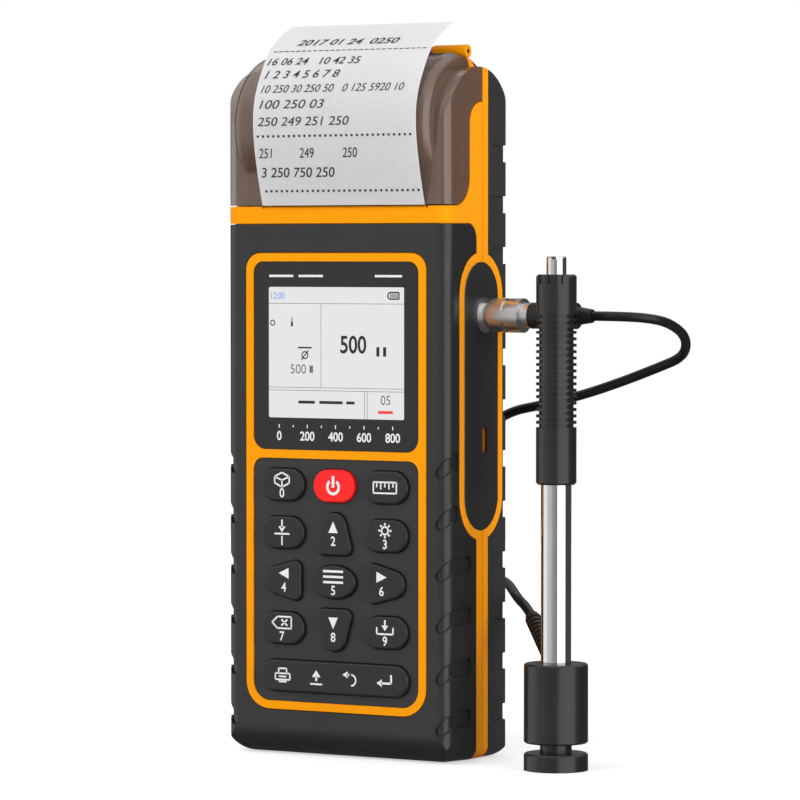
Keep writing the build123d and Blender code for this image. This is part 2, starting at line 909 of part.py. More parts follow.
def keypad_mat():
    """Contact mat of the keys, on the main board."""
    face = Pos(0, (mat_low + mat_high) / 2) * RectangleRounded(
        2 * (board_half_width - mat_inset), mat_high - mat_low, mat_corner
    )
    return front_prism(face, board_front_y - mat_thickness, board_front_y)


def power_board():
    """Second board that carries the service port, held on posts at the back."""
    y1 = power_board_y + board_thickness
    board = block(-board_half_width, board_half_width, power_board_y, y1, power_board_low, power_board_high)
    reach = port_height / 2 + port_tongue_margin
    board += block(board_half_width - overrun, inner_side_x - power_board_side_gap, power_board_y, y1,
                   port_z - reach, port_z + reach)
    board -= rod_x(0, plug_z, socket_nut_across / 2 + nut_room, inner_side_x - nut_room_length, half_width)
    y0 = power_board_y - inductor_height
    return board + rod_y(inductor_x, inductor_z, inductor_radius, y0, power_board_y)


def service_port():
    """Metal socket of the service port with its tongue."""
    x1 = inner_side_x
    x0 = x1 - port_depth
    width = 2 * (power_board_y - port_y)
    outer = side_prism(upright_slot(port_y, port_z, width, port_height + 2 * port_rim), x0, x1)
    opening = upright_slot(port_y, port_z, width - 2 * port_rim, port_height)
    half_tall = port_height / 2 - port_tongue_short
    tongue = block(x0, x1 - port_tongue_short, port_y - port_tongue / 2, port_y + port_tongue / 2,
                   port_z - half_tall, port_z + half_tall)
    return outer - side_prism(opening, x0 + port_floor, x1 + overrun) + tongue


def probe_socket():
    """Round metal socket with its outer flange."""
    x1 = half_width + insert_proud
    body = rod_x(0, plug_z, socket_radius, x1 - socket_length, x1)
    flange = rod_x(0, plug_z, socket_flange_radius, x1, x1 + socket_flange)
    bore_x = x1 + socket_flange - plug_nose_length - plug_end_gap
    bore = rod_x(0, plug_z, plug_nose_radius + running_fit, bore_x, x1 + socket_flange + overrun)
    return body + flange - bore


def socket_nut():
    """Hexagon nut that clamps the socket from inside."""
    x1 = inner_side_x
    hexagon = RegularPolygon(socket_nut_across / 2, 6, major_radius=False)
    nut = side_prism(Pos(0, plug_z) * hexagon, x1 - socket_nut_height, x1)
    return nut - rod_x(0, plug_z, socket_radius, 0, half_width)


def battery_pack():
    """Wrapped pack of three round cells side by side, against the back wall."""
    cell = battery_cell / 2
    y = inner_rear_y - cell - seat_gap
    face = Rectangle(2 * (battery_half_width - cell), battery_cell)
    for column in (-1, 0, 1):
        face += Pos(column * (battery_half_width - cell), 0) * Circle(cell)
    return Pos(0, y, battery_low) * extrude(face, battery_high - battery_low)


def case_screws():
    """Six screws from the back, each a separate solid."""
    head_y = inner_rear_y - screw_seat
    screws = []
    for side in (-1, 1):
        for z in screw_zs:
            x = side * screw_x
            screw = rod_y(x, z, screw_radius, -screw_depth, head_y)
            screw += rod_y(x, z, screw_head_radius, head_y, head_y + screw_head_height)
            bar = Rectangle(screw_cross_length, screw_cross_width)
            recess = Pos(x, z) * (bar + Rot(0, 0, 90) * bar)
            screws.append(screw - front_prism(recess, head_y + screw_cross_floor, far))
    return Compound(children=screws)


def hinge_knuckle_clearance():
    """Room in the door round the rear shell's knuckles."""
    room = knuckle_radius + knuckle_clear
    x1 = rear_knuckle_to + knuckle_end_gap
    right = rod_x(0, hinge_z, room, door_knuckle_half + knuckle_end_gap, x1)
    return right + mirror(right, Plane.YZ)


def door_arm(x0):
    """Plate inside the door that carries one end of the platen shaft."""
    inner_y = front_y + door_wall
    reach = platen_y + arm_reach
    arm = block(x0, x0 + arm_thickness, inner_y - root, reach,
                platen_z - arm_reach, platen_z + arm_reach + arm_rise)
    return arm & side_prism(door_zone(0, -join_line), x0 - overrun, x0 + arm_thickness + overrun)


paper_x0 = paper_offset - paper_width / 2
paper_x1 = paper_offset + paper_width / 2
left_arm_x = paper_x0 - paper_side_gap - arm_thickness
right_arm_x = paper_x1 + paper_side_gap
gear_x1 = left_arm_x - works_clear
gear_x0 = gear_x1 - gear_width
cheek_x1 = left_arm_x - seat_gap
cheek_x0 = cheek_x1 - left_cheek
right_cheek_x0 = paper_x1 + right_cheek_gap
right_cheek_x1 = right_cheek_x0 + right_cheek
head_top = platen_z - platen_radius - head_gap
shelf_top = head_top - head_height


def printer_door():
    """Smoked clear cover with its hinge knuckle and the two platen arms."""
    zone = side_prism(door_zone(0, -join_line), -half_width, half_width)
    door = (full_case & zone) - case_block(door_wall)
    door -= hinge_knuckle_clearance()
    door += rod_x(0, hinge_z, knuckle_radius, -door_knuckle_half, door_knuckle_half)
    door -= rod_x(0, hinge_z, hinge_pin_radius + running_fit, -half_width, half_width)
    for x in (left_arm_x, right_arm_x):
        door += door_arm(x)
    bore = platen_shaft_radius + running_fit
    x1 = right_arm_x + arm_thickness + overrun
    return door - rod_x(platen_y, platen_z, bore, left_arm_x - overrun, x1)


def hinge_pin():
    """Steel pin through the knuckles."""
    return rod_x(0, hinge_z, hinge_pin_radius, -rear_knuckle_to, rear_knuckle_to)


def gear(teeth, phase, y, z, x0, x1):
    """Spur gear with simple tapered teeth; one tooth points along the phase angle."""
    pitch_radius = gear_module * teeth / 2
    low = pitch_radius - tooth_below * gear_module
    tip = pitch_radius + tooth_above * gear_module
    corners = (
        (low, tooth_root_share), (tip, tooth_tip_share), (tip, -tooth_tip_share), (low, -tooth_root_share),
    )
    pitch = gear_module * pi
    points = []
    for i in range(teeth):
        middle = radians(phase) + 2 * pi * i / teeth
        for radius, half in corners:
            angle = middle - half * pitch / radius
            points.append((y + radius * cos(angle), z + radius * sin(angle)))
    return side_prism(make_face(Polyline(*points, close=True)), x0, x1)


def mesh_distance(teeth_a, teeth_b):
    """Distance between two meshed gears."""
    return gear_module * (teeth_a + teeth_b) / 2 + gear_backlash


line_y = cos(radians(gear_line_angle))
line_z = sin(radians(gear_line_angle))
idler_y = platen_y + line_y * mesh_distance(platen_teeth, idler_teeth)
idler_z = platen_z + line_z * mesh_distance(platen_teeth, idler_teeth)
pinion_y = idler_y + line_y * mesh_distance(idler_teeth, pinion_teeth)
pinion_z = idler_z + line_z * mesh_distance(idler_teeth, pinion_teeth)
idler_phase = gear_line_angle + 180 + 180 / idler_teeth


def platen_shaft():
    """Steel shaft of the platen."""
    x1 = right_arm_x + arm_thickness + shaft_end
    return rod_x(platen_y, platen_z, platen_shaft_radius, gear_x0 - shaft_end, x1)


def platen_roller():
    """Rubber sleeve that pulls the paper."""
    sleeve = rod_x(platen_y, platen_z, platen_radius, paper_x0, paper_x1)
    return sleeve - rod_x(platen_y, platen_z, platen_shaft_radius, paper_x0 - overrun, paper_x1 + overrun)


def platen_gear():
    """Gear on the left end of the platen shaft."""
    wheel = gear(platen_teeth, gear_line_angle, platen_y, platen_z, gear_x0, gear_x1)
    return wheel - rod_x(platen_y, platen_z, platen_shaft_radius, gear_x0 - overrun, gear_x1 + overrun)


def idler_gear():
    """Loose gear between the motor and the platen."""
    wheel = gear(idler_teeth, idler_phase, idler_y, idler_z, gear_x0, gear_x1)
    bore = idler_axle_radius + running_fit
    return wheel - rod_x(idler_y, idler_z, bore, gear_x0 - overrun, gear_x1 + overrun)


def motor_pinion():
    """Pinion with the motor's shaft."""
    wheel = gear(pinion_teeth, gear_line_angle + 180, pinion_y, pinion_z, gear_x0, gear_x1)
    return wheel + rod_x(pinion_y, pinion_z, motor_shaft_radius, gear_x0, cheek_x1 + motor_shaft_reach)


def stepper_motor():
    """Small can motor screwed to the left cheek."""
    can = rod_x(pinion_y, pinion_z, motor_radius, cheek_x1, cheek_x1 + motor_length)
    can = fillet(can.faces().sort_by(Axis.X)[-1].edges(), motor_round)
    x1 = cheek_x1 + motor_shaft_reach + overrun
    return can - rod_x(pinion_y, pinion_z, motor_shaft_radius + running_fit, cheek_x1 - overrun, x1)


def cheek_outline():
    """Side plate of the printer works, with an open slot for the roll's spindle."""
    front = inner_front_y + works_front_gap
    back = inner_rear_y - seat_gap
    throat_y = platen_y + platen_radius + throat_gap
    fork_front = bay_y - fork_half
    fork_back = bay_y + fork_half
    foot_z = shelf_top - works_foot
    outline = make_face(Polyline(
        (front, foot_z), (front, shelf_top), (throat_y, shelf_top), (throat_y, platen_z + throat_rise),
        (fork_front, platen_z + fork_rise), (fork_front, works_top), (fork_back, works_top),
        (fork_back, works_back_high), (back, works_back_low), (back, works_low), (idler_y, works_low),
        (idler_y, foot_z), close=True,
    ))
    slot_half = spindle_radius + running_fit
    slot = Pos(bay_y, bay_z) * Circle(slot_half)
    slot += Pos(fork_front, bay_z) * Rectangle(2 * fork_half, 2 * slot_half)
    return outline - slot


def ring_sector(inner, outer, start, span):
    """Part of a flat ring round the origin."""
    edges = [CenterArc((0, 0), inner, start, span), CenterArc((0, 0), outer, start, span)]
    for angle in (start, start + span):
        corner = (inner * cos(radians(angle)), inner * sin(radians(angle)))
        edges.append(PolarLine(corner, outer - inner, angle))
    return make_face(edges)


def printer_works():
    """Moulded chassis: two cheeks, head shelf, back plate and a trough for the roll."""
    outline = cheek_outline()
    x1 = right_cheek_x1
    works = side_prism(outline, cheek_x0, cheek_x1) + side_prism(outline, right_cheek_x0, x1)
    front = inner_front_y + works_front_gap
    works += block(cheek_x0, x1, front, platen_y + works_shelf_depth, shelf_top - works_shelf, shelf_top)
    back = inner_rear_y - seat_gap
    works += block(cheek_x0, x1, back - works_plate, back, works_low, works_low + works_plate_height)
    inner = roll_radius + trough_gap
    trough = ring_sector(inner, inner + trough_wall, trough_from, trough_span)
    works += side_prism(Pos(bay_y, bay_z) * trough, cheek_x0, x1)
    works += rod_x(idler_y, idler_z, idler_axle_radius, gear_x0 - shaft_end, cheek_x1)
    return works - rod_x(pinion_y, pinion_z, 2 * motor_shaft_radius, cheek_x0 - overrun, cheek_x1)


def print_head():
    """Thermal head under the platen."""
    y0 = platen_y - head_depth / 3
    head = block(paper_x0, paper_x1, y0, y0 + head_depth, shelf_top, head_top)
    return chamfer(head.edges().filter_by(Axis.X).group_by(Axis.Z)[-1], head_chamfer)


def paper_roll():
    """Roll of paper on its core."""
    roll = rod_x(bay_y, bay_z, roll_radius, paper_x0, paper_x1)
    return roll - rod_x(bay_y, bay_z, core_radius, paper_x0 - overrun, paper_x1 + overrun)


def roll_spindle():
    """Plastic spindle inside the roll, with thin ends that lie in the cheeks."""
    spindle = rod_x(bay_y, bay_z, core_radius, paper_x0, paper_x1)
    return spindle + rod_x(bay_y, bay_z, spindle_radius, cheek_x0, right_cheek_x1)


def paper_strip():
    """Printed strip that comes out under the door and curls back over it."""
    front = [(y, shoulder_height + z) for y, z in paper_section]
    back = []
    count = len(front)
    for i, (y, z) in enumerate(front):
        y0, z0 = front[max(i - 1, 0)]
        y1, z1 = front[min(i + 1, count - 1)]
        along = Vector(y1 - y0, z1 - z0).normalized()
        back.append((y + along.Y * paper_thickness, z - along.X * paper_thickness))
    front_line = Spline(*front)
    back_line = Spline(*back)
    face = make_face([
        front_line, Line(front[-1], back[-1]), back_line, Line(front[0], back[0]),
    ])
    return side_prism(face, paper_x0, paper_x1)


socket_face_x = half_width + insert_proud + socket_flange
latch_x = socket_face_x + latch_from
boot_x = socket_face_x + plug_length
boot_end_x = boot_x + boot_length + boot_taper


def plug_body():
    """Metal plug with the nose in the socket."""
    nose = rod_x(0, plug_z, plug_nose_radius, socket_face_x - plug_nose_length, socket_face_x)
    return nose + rod_x(0, plug_z, plug_radius, socket_face_x, boot_x)


def plug_latch():
    """Knurled sleeve that is pulled back to free the plug."""
    sleeve = rod_x(0, plug_z, latch_waist, latch_x, latch_x + latch_length)
    sleeve += rod_x(0, plug_z, latch_radius, latch_x, latch_x + latch_ring)
    sleeve += rod_x(0, plug_z, latch_radius, latch_x + latch_length - latch_ring, latch_x + latch_length)
    x1 = latch_x + latch_length + overrun
    return sleeve - rod_x(0, plug_z, plug_radius + running_fit, latch_x - overrun, x1)


def plug_boot():
    """Black boot over the back of the plug, tapering to the lead."""
    boot = rod_x(0, plug_z, boot_radius, boot_x, boot_x + boot_length)
    near_end = Plane.YZ.offset(boot_x + boot_length) * (Pos(0, plug_z) * Circle(boot_neck_radius))
    far_end = Plane.YZ.offset(boot_end_x) * (Pos(0, plug_z) * Circle(boot_tip_radius))
    return boot + loft([near_end, far_end])


neck_top = support_height + neck_height
housing_top = neck_top + housing_height
disc_top = sleeve_high - sleeve_end - button_gap - button_flange - button_travel - button_gap


def support_ring():
    """Foot of the impact device, with a neck that goes up into the housing."""
    foot = chamfer(rod_z(support_radius, 0, support_height).edges().group_by(Axis.Z)[-1], probe_chamfer)
    neck = rod_z(neck_radius, support_height, neck_top)
    spigot = rod_z(tube_radius, neck_top, neck_top + housing_end)
    return foot + neck + spigot - rod_z(tube_bore, -overrun, neck_top + housing_end + overrun)


def coil_housing():
    """Round housing of the coil."""
    body = rod_z(support_radius, neck_top, housing_top)
    body = chamfer(body.edges().filter_by(GeomType.CIRCLE), probe_chamfer)
    body -= rod_z(support_radius - housing_wall, neck_top + housing_end, housing_top - housing_end)
    return body - rod_z(tube_radius, neck_top - overrun, housing_top + overrun)


def sensing_coil():
    """Winding round the guide tube."""
    z0 = neck_top + housing_end + winding_lift
    z1 = z0 + winding_height
    outer = support_radius - housing_wall - winding_gap
    return rod_z(outer, z0, z1) - rod_z(tube_radius, z0 - overrun, z1 + overrun)


def guide_tube():
    """Chrome tube that the impact body runs in."""
    z0 = neck_top + housing_end
    return rod_z(tube_radius, z0, tube_top) - rod_z(tube_bore, z0 - overrun, tube_top + overrun)


def loading_sleeve():
    """Black sleeve that is pushed down the tube, ribbed for the fingers."""
    bore = tube_radius + sleeve_fit
    sleeve = rod_z(sleeve_radius, sleeve_low, sleeve_high)
    sleeve = chamfer(sleeve.edges().filter_by(GeomType.CIRCLE), sleeve_chamfer)
    sleeve -= rod_z(bore, sleeve_low - overrun, sleeve_high - sleeve_end)
    sleeve -= rod_z(button_radius + running_fit, sleeve_high - sleeve_end - overrun, sleeve_high + overrun)
    outside = sleeve_radius + overrun
    groove = extrude(Circle(outside) - Circle(sleeve_radius - rib_depth), rib_groove)
    for i in range(rib_count):
        sleeve -= Pos(probe_x, probe_y, rib_first_z + i * rib_pitch) * groove
    notch = extrude(ring_sector(sleeve_radius - notch_depth, outside, -notch_span / 2, notch_span), far)
    for angle in notch_angles:
        sleeve -= Pos(probe_x, probe_y, sleeve_high - notch_height) * Rot(0, 0, angle) * notch
    return sleeve


def release_button():
    """Chrome button with a slot in its top and a flange inside the sleeve."""
    flange_top = sleeve_high - sleeve_end - button_gap
    button = rod_z(button_radius, flange_top - button_flange, button_top)
    button = chamfer(button.edges().group_by(Axis.Z)[-1], button_chamfer)
    button += rod_z(button_flange_radius, flange_top - button_flange, flange_top)
    slot = Box(2 * button_flange_radius, button_slot, 2 * button_slot_depth)
    return button - Pos(probe_x, probe_y, button_top) * Rot(0, 0, button_slot_angle) * slot


def catch_chuck():
    """Disc in the sleeve with a rod down to the cup that catches the impact body."""
    disc = rod_z(tube_radius + sleeve_fit - running_fit, disc_top - chuck_disc, disc_top)
    cup_top = chuck_low + chuck_height
    rod = rod_z(chuck_rod_radius, cup_top - root, disc_top)
    cup = rod_z(chuck_radius, chuck_low, cup_top)
    return disc + rod + cup - rod_z(impactor_head + catch_clear, chuck_low - overrun, cup_top - chuck_roof)


def wire_spring(radius, z0, z1, turns):
    """Coil spring that just fits between two heights."""
    z0 = z0 + spring_wire / 2 + spring_end_gap
    z1 = z1 - spring_wire / 2 - spring_end_gap
    path = Helix((z1 - z0) / turns, z1 - z0, radius, center=(probe_x, probe_y, z0))
    wire = Plane(origin=path @ 0, z_dir=path % 0) * Circle(spring_wire / 2)
    return sweep(wire, path=path, is_frenet=True)


def loading_spring():
    """Spring that lifts the sleeve again."""
    return wire_spring(loading_spring_radius, tube_top, disc_top - chuck_disc, loading_turns)


def impact_spring():
    """Spring round the rod, which drives the impact body."""
    radius = chuck_rod_radius + impact_spring_gap
    return wire_spring(radius, chuck_low + chuck_height, disc_top - chuck_disc, impact_turns)


def impact_body():
    """Steel body with a hard round tip below and a catch head above."""
    body = rod_z(impactor_radius, impactor_low, impactor_high)
    body = chamfer(body.edges().filter_by(GeomType.CIRCLE), impactor_chamfer)
    body += rod_z(impactor_nose, impactor_tip, impactor_low + root)
    body += Pos(probe_x, probe_y, impactor_tip + impactor_tip_lift) * Sphere(impactor_tip)
    catch_top = impactor_high + impactor_catch
    body += rod_z(impactor_neck, impactor_high - root, catch_top)
    return body + rod_z(impactor_head, catch_top - impactor_head_height, catch_top)


def from_wall(point):
    """Point whose X is measured from the right wall of the case."""
    return (half_width + point[0], *point[1:])


def upper_points():
    """Route of the upper lead, its heights stretched between the floor and the plug."""
    low = lead_diameter / 2
    stretch = (plug_z - low) / (upper_route[0][2] - low)
    return [from_wall((x, y, low + (z - low) * stretch)) for x, y, z in upper_route]


def lower_points():
    """Route of the lower lead."""
    return [from_wall(point) for point in lower_route]


def lead_boot():
    """Ribbed boot that stands on the housing and leans back with the lead."""
    x, y = from_wall(lead_boot_foot)
    knee = Vector(x, y, housing_top + lead_boot_knee)
    top = Vector(*from_wall(lead_boot_top))
    run = top - knee
    boot = rod_z(lead_boot_radius, housing_top, knee.Z, x=x, y=y)
    boot += Pos(knee.X, knee.Y, knee.Z) * Sphere(lead_boot_radius)
    leaning = Plane(origin=knee, z_dir=run)
    boot += leaning * Cylinder(lead_boot_radius, run.length, align=(Align.CENTER, Align.CENTER, Align.MIN))
    pitch = run.length / (lead_boot_ribs + 1)
    for i in range(lead_boot_ribs):
        boot += leaning * Pos(0, 0, (i + 1) * pitch) * Cylinder(lead_boot_rib, pitch * lead_boot_rib_share)
    return boot


def route_radii(points):
    """Largest even radius at each inner point of a route, from a share of its shorter run."""
    radii = []
    for before, here, after in zip(points, points[1:], points[2:]):
        run_in = Vector(*here) - Vector(*before)
        run_out = Vector(*after) - Vector(*here)
        turn = radians(run_in.get_angle(run_out))
        radii.append(lead_arc_share * min(run_in.length, run_out.length) / tan(turn / 2))
    return radii


def lead_tube(points, label):
    """Round tube along a route of straight runs and tangent arcs."""
    radii = route_radii(points)
    print(label, "radii", [round(radius, 1) for radius in radii])
    path = FilletPolyline(*points, radius=radii)
    tube = sweep(Plane(origin=path @ 0, z_dir=path % 0) * Circle(lead_diameter / 2), path=path)
    share = tube.volume / (pi * (lead_diameter / 2) ** 2 * path.length)
    print(label, "length", round(path.length, 1), "volume share", round(share, 4))
    return tube


def lead_coil():
    """Outer form of the coiled part of the lead, lying on the floor behind the case."""
    half_band = coil_columns * lead_diameter / 2
    height = coil_layers * lead_diameter
    place = {"x": coil_x, "y": coil_y}
    ring = rod_z(coil_middle_radius + half_band, 0, height, **place)
    return ring - rod_z(coil_middle_radius - half_band, -overrun, height + overrun, **place)


pieces = {
    "front_shell": front_shell,
    "front_overmould": front_overmould,
    "rear_shell": rear_shell,
    "rear_overmould": rear_overmould,
    "right_side_insert": lambda: side_insert(True),
    "left_side_insert": lambda: side_insert(False),
    "display_window": display_window,
    "lcd_module": lcd_module,
    "keypad_panel": keypad_panel,
    "keypad_mat": keypad_mat,
    "main_board": main_board,
    "power_board": power_board,
    "service_port": service_port,
    "probe_socket": probe_socket,
    "socket_nut": socket_nut,
    "battery_pack": battery_pack,
    "case_screws": case_screws,
    "printer_door": printer_door,
    "door_hinge_pin": hinge_pin,
    "printer_works": printer_works,
    "print_head": print_head,
    "stepper_motor": stepper_motor,
    "motor_pinion": motor_pinion,
    "idler_gear": idler_gear,
    "platen_gear": platen_gear,
    "platen_shaft": platen_shaft,
    "platen_roller": platen_roller,
    "paper_roll": paper_roll,
    "roll_spindle": roll_spindle,
    "paper_strip": paper_strip,
    "plug_body": plug_body,
    "plug_latch": plug_latch,
    "plug_boot": plug_boot,
    "support_ring": support_ring,
    "coil_housing": coil_housing,
    "sensing_coil": sensing_coil,
    "guide_tube": guide_tube,
    "loading_sleeve": loading_sleeve,
    "release_button": release_button,
    "catch_chuck": catch_chuck,
    "loading_spring": loading_spring,
    "impact_spring": impact_spring,
    "impact_body": impact_body,
    "lead_boot": lead_boot,
    "lead_upper": lambda: lead_tube(upper_points(), "upper lead"),
    "lead_lower": lambda: lead_tube(lower_points(), "lower lead"),
    "lead_coil": lead_coil,
}

os.makedirs("parts", exist_ok=True)
for name, make in pieces.items():
    save(make(), name)
for name, column, z, outline in key_faces():
    save(key(column, z, outline), name)
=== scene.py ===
import math
import bmesh
import bpy
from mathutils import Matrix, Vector


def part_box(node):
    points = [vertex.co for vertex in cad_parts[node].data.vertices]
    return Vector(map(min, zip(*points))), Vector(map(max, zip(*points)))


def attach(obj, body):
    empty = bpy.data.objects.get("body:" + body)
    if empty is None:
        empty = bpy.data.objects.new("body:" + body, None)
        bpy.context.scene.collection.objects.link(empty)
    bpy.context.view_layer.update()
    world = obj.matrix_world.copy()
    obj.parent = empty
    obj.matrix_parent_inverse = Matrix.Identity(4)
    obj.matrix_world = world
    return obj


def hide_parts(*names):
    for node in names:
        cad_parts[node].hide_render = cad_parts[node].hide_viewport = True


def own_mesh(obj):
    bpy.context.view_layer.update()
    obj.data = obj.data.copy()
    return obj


# Looks of the handheld printing hardness tester. Metres, in the same frame as the solids:
# X to the user's right, Y away from the user, Z up, origin in the middle of the case's underside.

MM = 0.001


def show(name, data):
    """New object with this data, in the scene."""
    thing = bpy.data.objects.new(name, data)
    bpy.context.scene.collection.objects.link(thing)
    return thing


def round_wire(name, points, radius, facets, steps):
    """Smooth round wire along these points, in metres; facets and steps say how finely it is divided."""
    data = bpy.data.curves.new(name, "CURVE")
    data.dimensions = "3D"
    line = data.splines.new("NURBS")
    line.points.add(len(points) - 1)
    for point, place in zip(line.points, points):
        point.co = (*place, 1)
    line.order_u = 3
    line.use_endpoint_u = True
    line.resolution_u = steps
    data.bevel_depth = radius
    data.bevel_resolution = facets
    return data


def baked(curve):
    """Mesh of a curve or text, which isn't kept itself."""
    holder = show(curve.name, curve)
    depsgraph = bpy.context.evaluated_depsgraph_get()
    depsgraph.update()
    mesh = bpy.data.meshes.new_from_object(holder.evaluated_get(depsgraph))
    bpy.data.objects.remove(holder)
    bpy.data.curves.remove(curve)
    return mesh


# Camera: long lens at the photograph's angle, nearly level. Angles in degrees, lens in millimetres
camera_place = (0.69523, -1.16217, 0.1543)
camera_yaw = 30.5
camera_down = 1.88
camera_lens = 195.9
camera_sensor = 36


def aim_camera():
    """The photograph's view."""
    data = bpy.data.cameras.new("camera")
    data.lens = camera_lens
    data.sensor_width = camera_sensor
    camera = show("camera", data)
    camera.location = camera_place
    camera.rotation_euler = (math.radians(90 - camera_down), 0, math.radians(camera_yaw))
    bpy.context.scene.camera = camera


# Lead: the route's points in millimetres. They are the solids' points, but for two at the loop and
# the lower end, which follow the photograph
lead_radius = 1.5
lead_facets = 5
lead_steps = 6
upper_route = [
    (78.2, 0.0, 136.5), (85.8, 0.0, 136.5), (94.2, 5.2, 136.0), (97.4, 13.6, 134.4),
    (97.8, 24.2, 130.0), (92.8, 32.6, 123.8), (83.0, 33.6, 120.2), (71.0, 34.6, 116.0),
    (57.0, 34.4, 111.5), (43.0, 34.2, 108.2), (29.0, 35.2, 105.6), (17.5, 38.0, 98.0),
    (9.5, 42.0, 86.0), (4.5, 46.5, 73.0), (1.5, 51.5, 59.0), (-0.5, 56.5, 45.0),
    (-2.0, 60.5, 31.5), (-4.0, 63.3, 19.5), (-8.2, 64.8, 9.4), (-14.6, 64.2, 3.4), (-22.0, 63.5, 1.5),
]
lower_route = [
    (55.2, 4.0, 44.4), (50.8, 8.4, 46.9), (42.5, 18.2, 48.2), (34.5, 25.0, 53.5),
    (26.5, 31.0, 52.0), (19.5, 35.0, 46.0), (14.5, 36.4, 37.0), (8.0, 33.8, 26.5),
    (0.5, 30.0, 17.0), (-9.5, 26.6, 10.5), (-22.0, 25.5, 7.5),
]
coil_centre = (-22.0, 43.0)
coil_radii = [20.5, 17.5, 14.5]
coil_layers = [1.5, 4.5, 7.5]
coil_start = 90
points_per_turn = 16
step_share = 0.25


def coil_points():
    """Turns of the coil: in on the floor, out on the second layer, in again on the top one.

    In the last step_share of each turn the lead moves over to the next one."""
    turns = []
    for layer, z in enumerate(coil_layers):
        radii = coil_radii if layer % 2 == 0 else coil_radii[::-1]
        turns += [(radius, z) for radius in radii]
    turns = turns[:-1]
    cx, cy = coil_centre
    points = []
    for i in range(1, len(turns) * points_per_turn - points_per_turn // 2):
        place = i / points_per_turn
        here = min(int(place), len(turns) - 1)
        after = min(here + 1, len(turns) - 1)
        share = max(0.0, (place - here - 1 + step_share) / step_share)
        radius, z = [a + (b - a) * share for a, b in zip(turns[here], turns[after])]
        angle = math.radians(coil_start) + 2 * math.pi * place
        points.append((cx + radius * math.cos(angle), cy + radius * math.sin(angle), z))
    return points


def lay_lead():
    """One smooth line from the plug's boot to the impact device's boot."""
    points = [tuple(c * MM for c in point) for point in upper_route + coil_points() + lower_route[::-1]]
    lead = show("probe_lead", round_wire("probe_lead", points, lead_radius * MM, lead_facets, lead_steps))
    lead.data.materials.append(moulded("lead_jacket", (0.009, 0.009, 0.009), roughness=0.30, grain=0.6,
                                       depth=0.004, Specular_IOR_Level=0.3, Coat_Weight=0.15))
    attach(lead, "tester")
    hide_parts("lead_upper", "lead_lower", "lead_coil")


# Shader nodes
white = (1.0, 1.0, 1.0, 1.0)
noise_low, noise_high = 0.3, 0.7


def link(tree, output, socket):
    """Join an output to an input, or set the input's own value."""
    if isinstance(output, bpy.types.NodeSocket):
        tree.links.new(output, socket)
    else:
        socket.default_value = output


def fill(node, **values):
    """Set a node's inputs; an underscore in a name stands for a space."""
    for name, value in values.items():
        node.inputs[name.replace("_", " ")].default_value = value


def math_node(tree, operation, a, b=0.0):
    """What a calculation makes of one or two values."""
    node = tree.nodes.new("ShaderNodeMath")
    node.operation = operation
    link(tree, a, node.inputs[0])
    link(tree, b, node.inputs[1])
    return node.outputs[0]


def axes(tree, vector):
    """X, Y and Z of a place or direction."""
    split = tree.nodes.new("ShaderNodeSeparateXYZ")
    tree.links.new(vector, split.inputs[0])
    return split.outputs


def blend_colours(tree, factor, first, second):
    """Colour between two colours."""
    node = tree.nodes.new("ShaderNodeMix")
    node.data_type = "RGBA"
    link(tree, factor, node.inputs["Factor"])
    link(tree, first, node.inputs["A"])
    link(tree, second, node.inputs["B"])
    return node.outputs["Result"]


def ramp(tree, value, start, end, low=0.0, high=1.0):
    """From low at start to high at end, and level beyond them."""
    node = tree.nodes.new("ShaderNodeMapRange")
    fill(node, From_Min=start, From_Max=end, To_Min=low, To_Max=high)
    tree.links.new(value, node.inputs["Value"])
    return node.outputs["Result"]


def spread(tree, value, low=0.0, high=1.0):
    """The middle of a noise, stretched from low to high."""
    return ramp(tree, value, noise_low, noise_high, low, high)


def noise(tree, vector, scale, detail=2.0):
    """Noise with about this many grains in a metre."""
    node = tree.nodes.new("ShaderNodeTexNoise")
    fill(node, Scale=scale, Detail=detail)
    tree.links.new(vector, node.inputs["Vector"])
    return node.outputs["Fac"]


def stretched_noise(tree, vector, scale, detail):
    """Noise with its own number of grains in a metre along each axis."""
    node = tree.nodes.new("ShaderNodeMapping")
    fill(node, Scale=scale)
    tree.links.new(vector, node.inputs["Vector"])
    return noise(tree, node.outputs["Vector"], 1.0, detail)


def bump(tree, height, depth):
    """Surface relief of this depth in millimetres."""
    node = tree.nodes.new("ShaderNodeBump")
    fill(node, Distance=depth * MM, Strength=1.0)
    tree.links.new(height, node.inputs["Height"])
    return node.outputs["Normal"]


def object_space(tree):
    """Coordinates of the piece itself, in metres."""
    return tree.nodes.new("ShaderNodeTexCoord").outputs["Object"]


def new_material(name, **values):
    """Material with its node tree and main shader, whose inputs are set."""
    material = bpy.data.materials.new(name)
    material.use_nodes = True
    shader = material.node_tree.nodes["Principled BSDF"]
    fill(shader, **values)
    return material, material.node_tree, shader


def grey(level):
    """Neutral colour of this level."""
    return (level, level, level, 1)


def tinted(colour, times=1.0):
    """Colour made darker or lighter."""
    return tuple(min(1.0, c * times) for c in colour) + (1,)


# Stage and light
floor_size = 1.8
floor_level = 0.62
floor_lift = 0.52
world_level = 0.60
overhead_level = 0.95
overhead_from, overhead_to = 0.45, 0.75
underfoot_level = 0.10
underfoot_from, underfoot_to = -0.2, -0.6
camera_azimuth = math.atan2(camera_place[1], camera_place[0])
# What metal sees round it: degrees to the right of the camera's own direction, and how bright
studio_bands = [
    (-180, 0.05), (-135, 0.08), (-120, 0.85), (-82, 0.95), (-70, 0.6), (-42, 0.52), (-28, 0.33),
    (-4, 0.26), (4, 0.16), (9, 1.5), (68, 1.5), (74, 0.06), (140, 0.06), (180, 0.2),
]
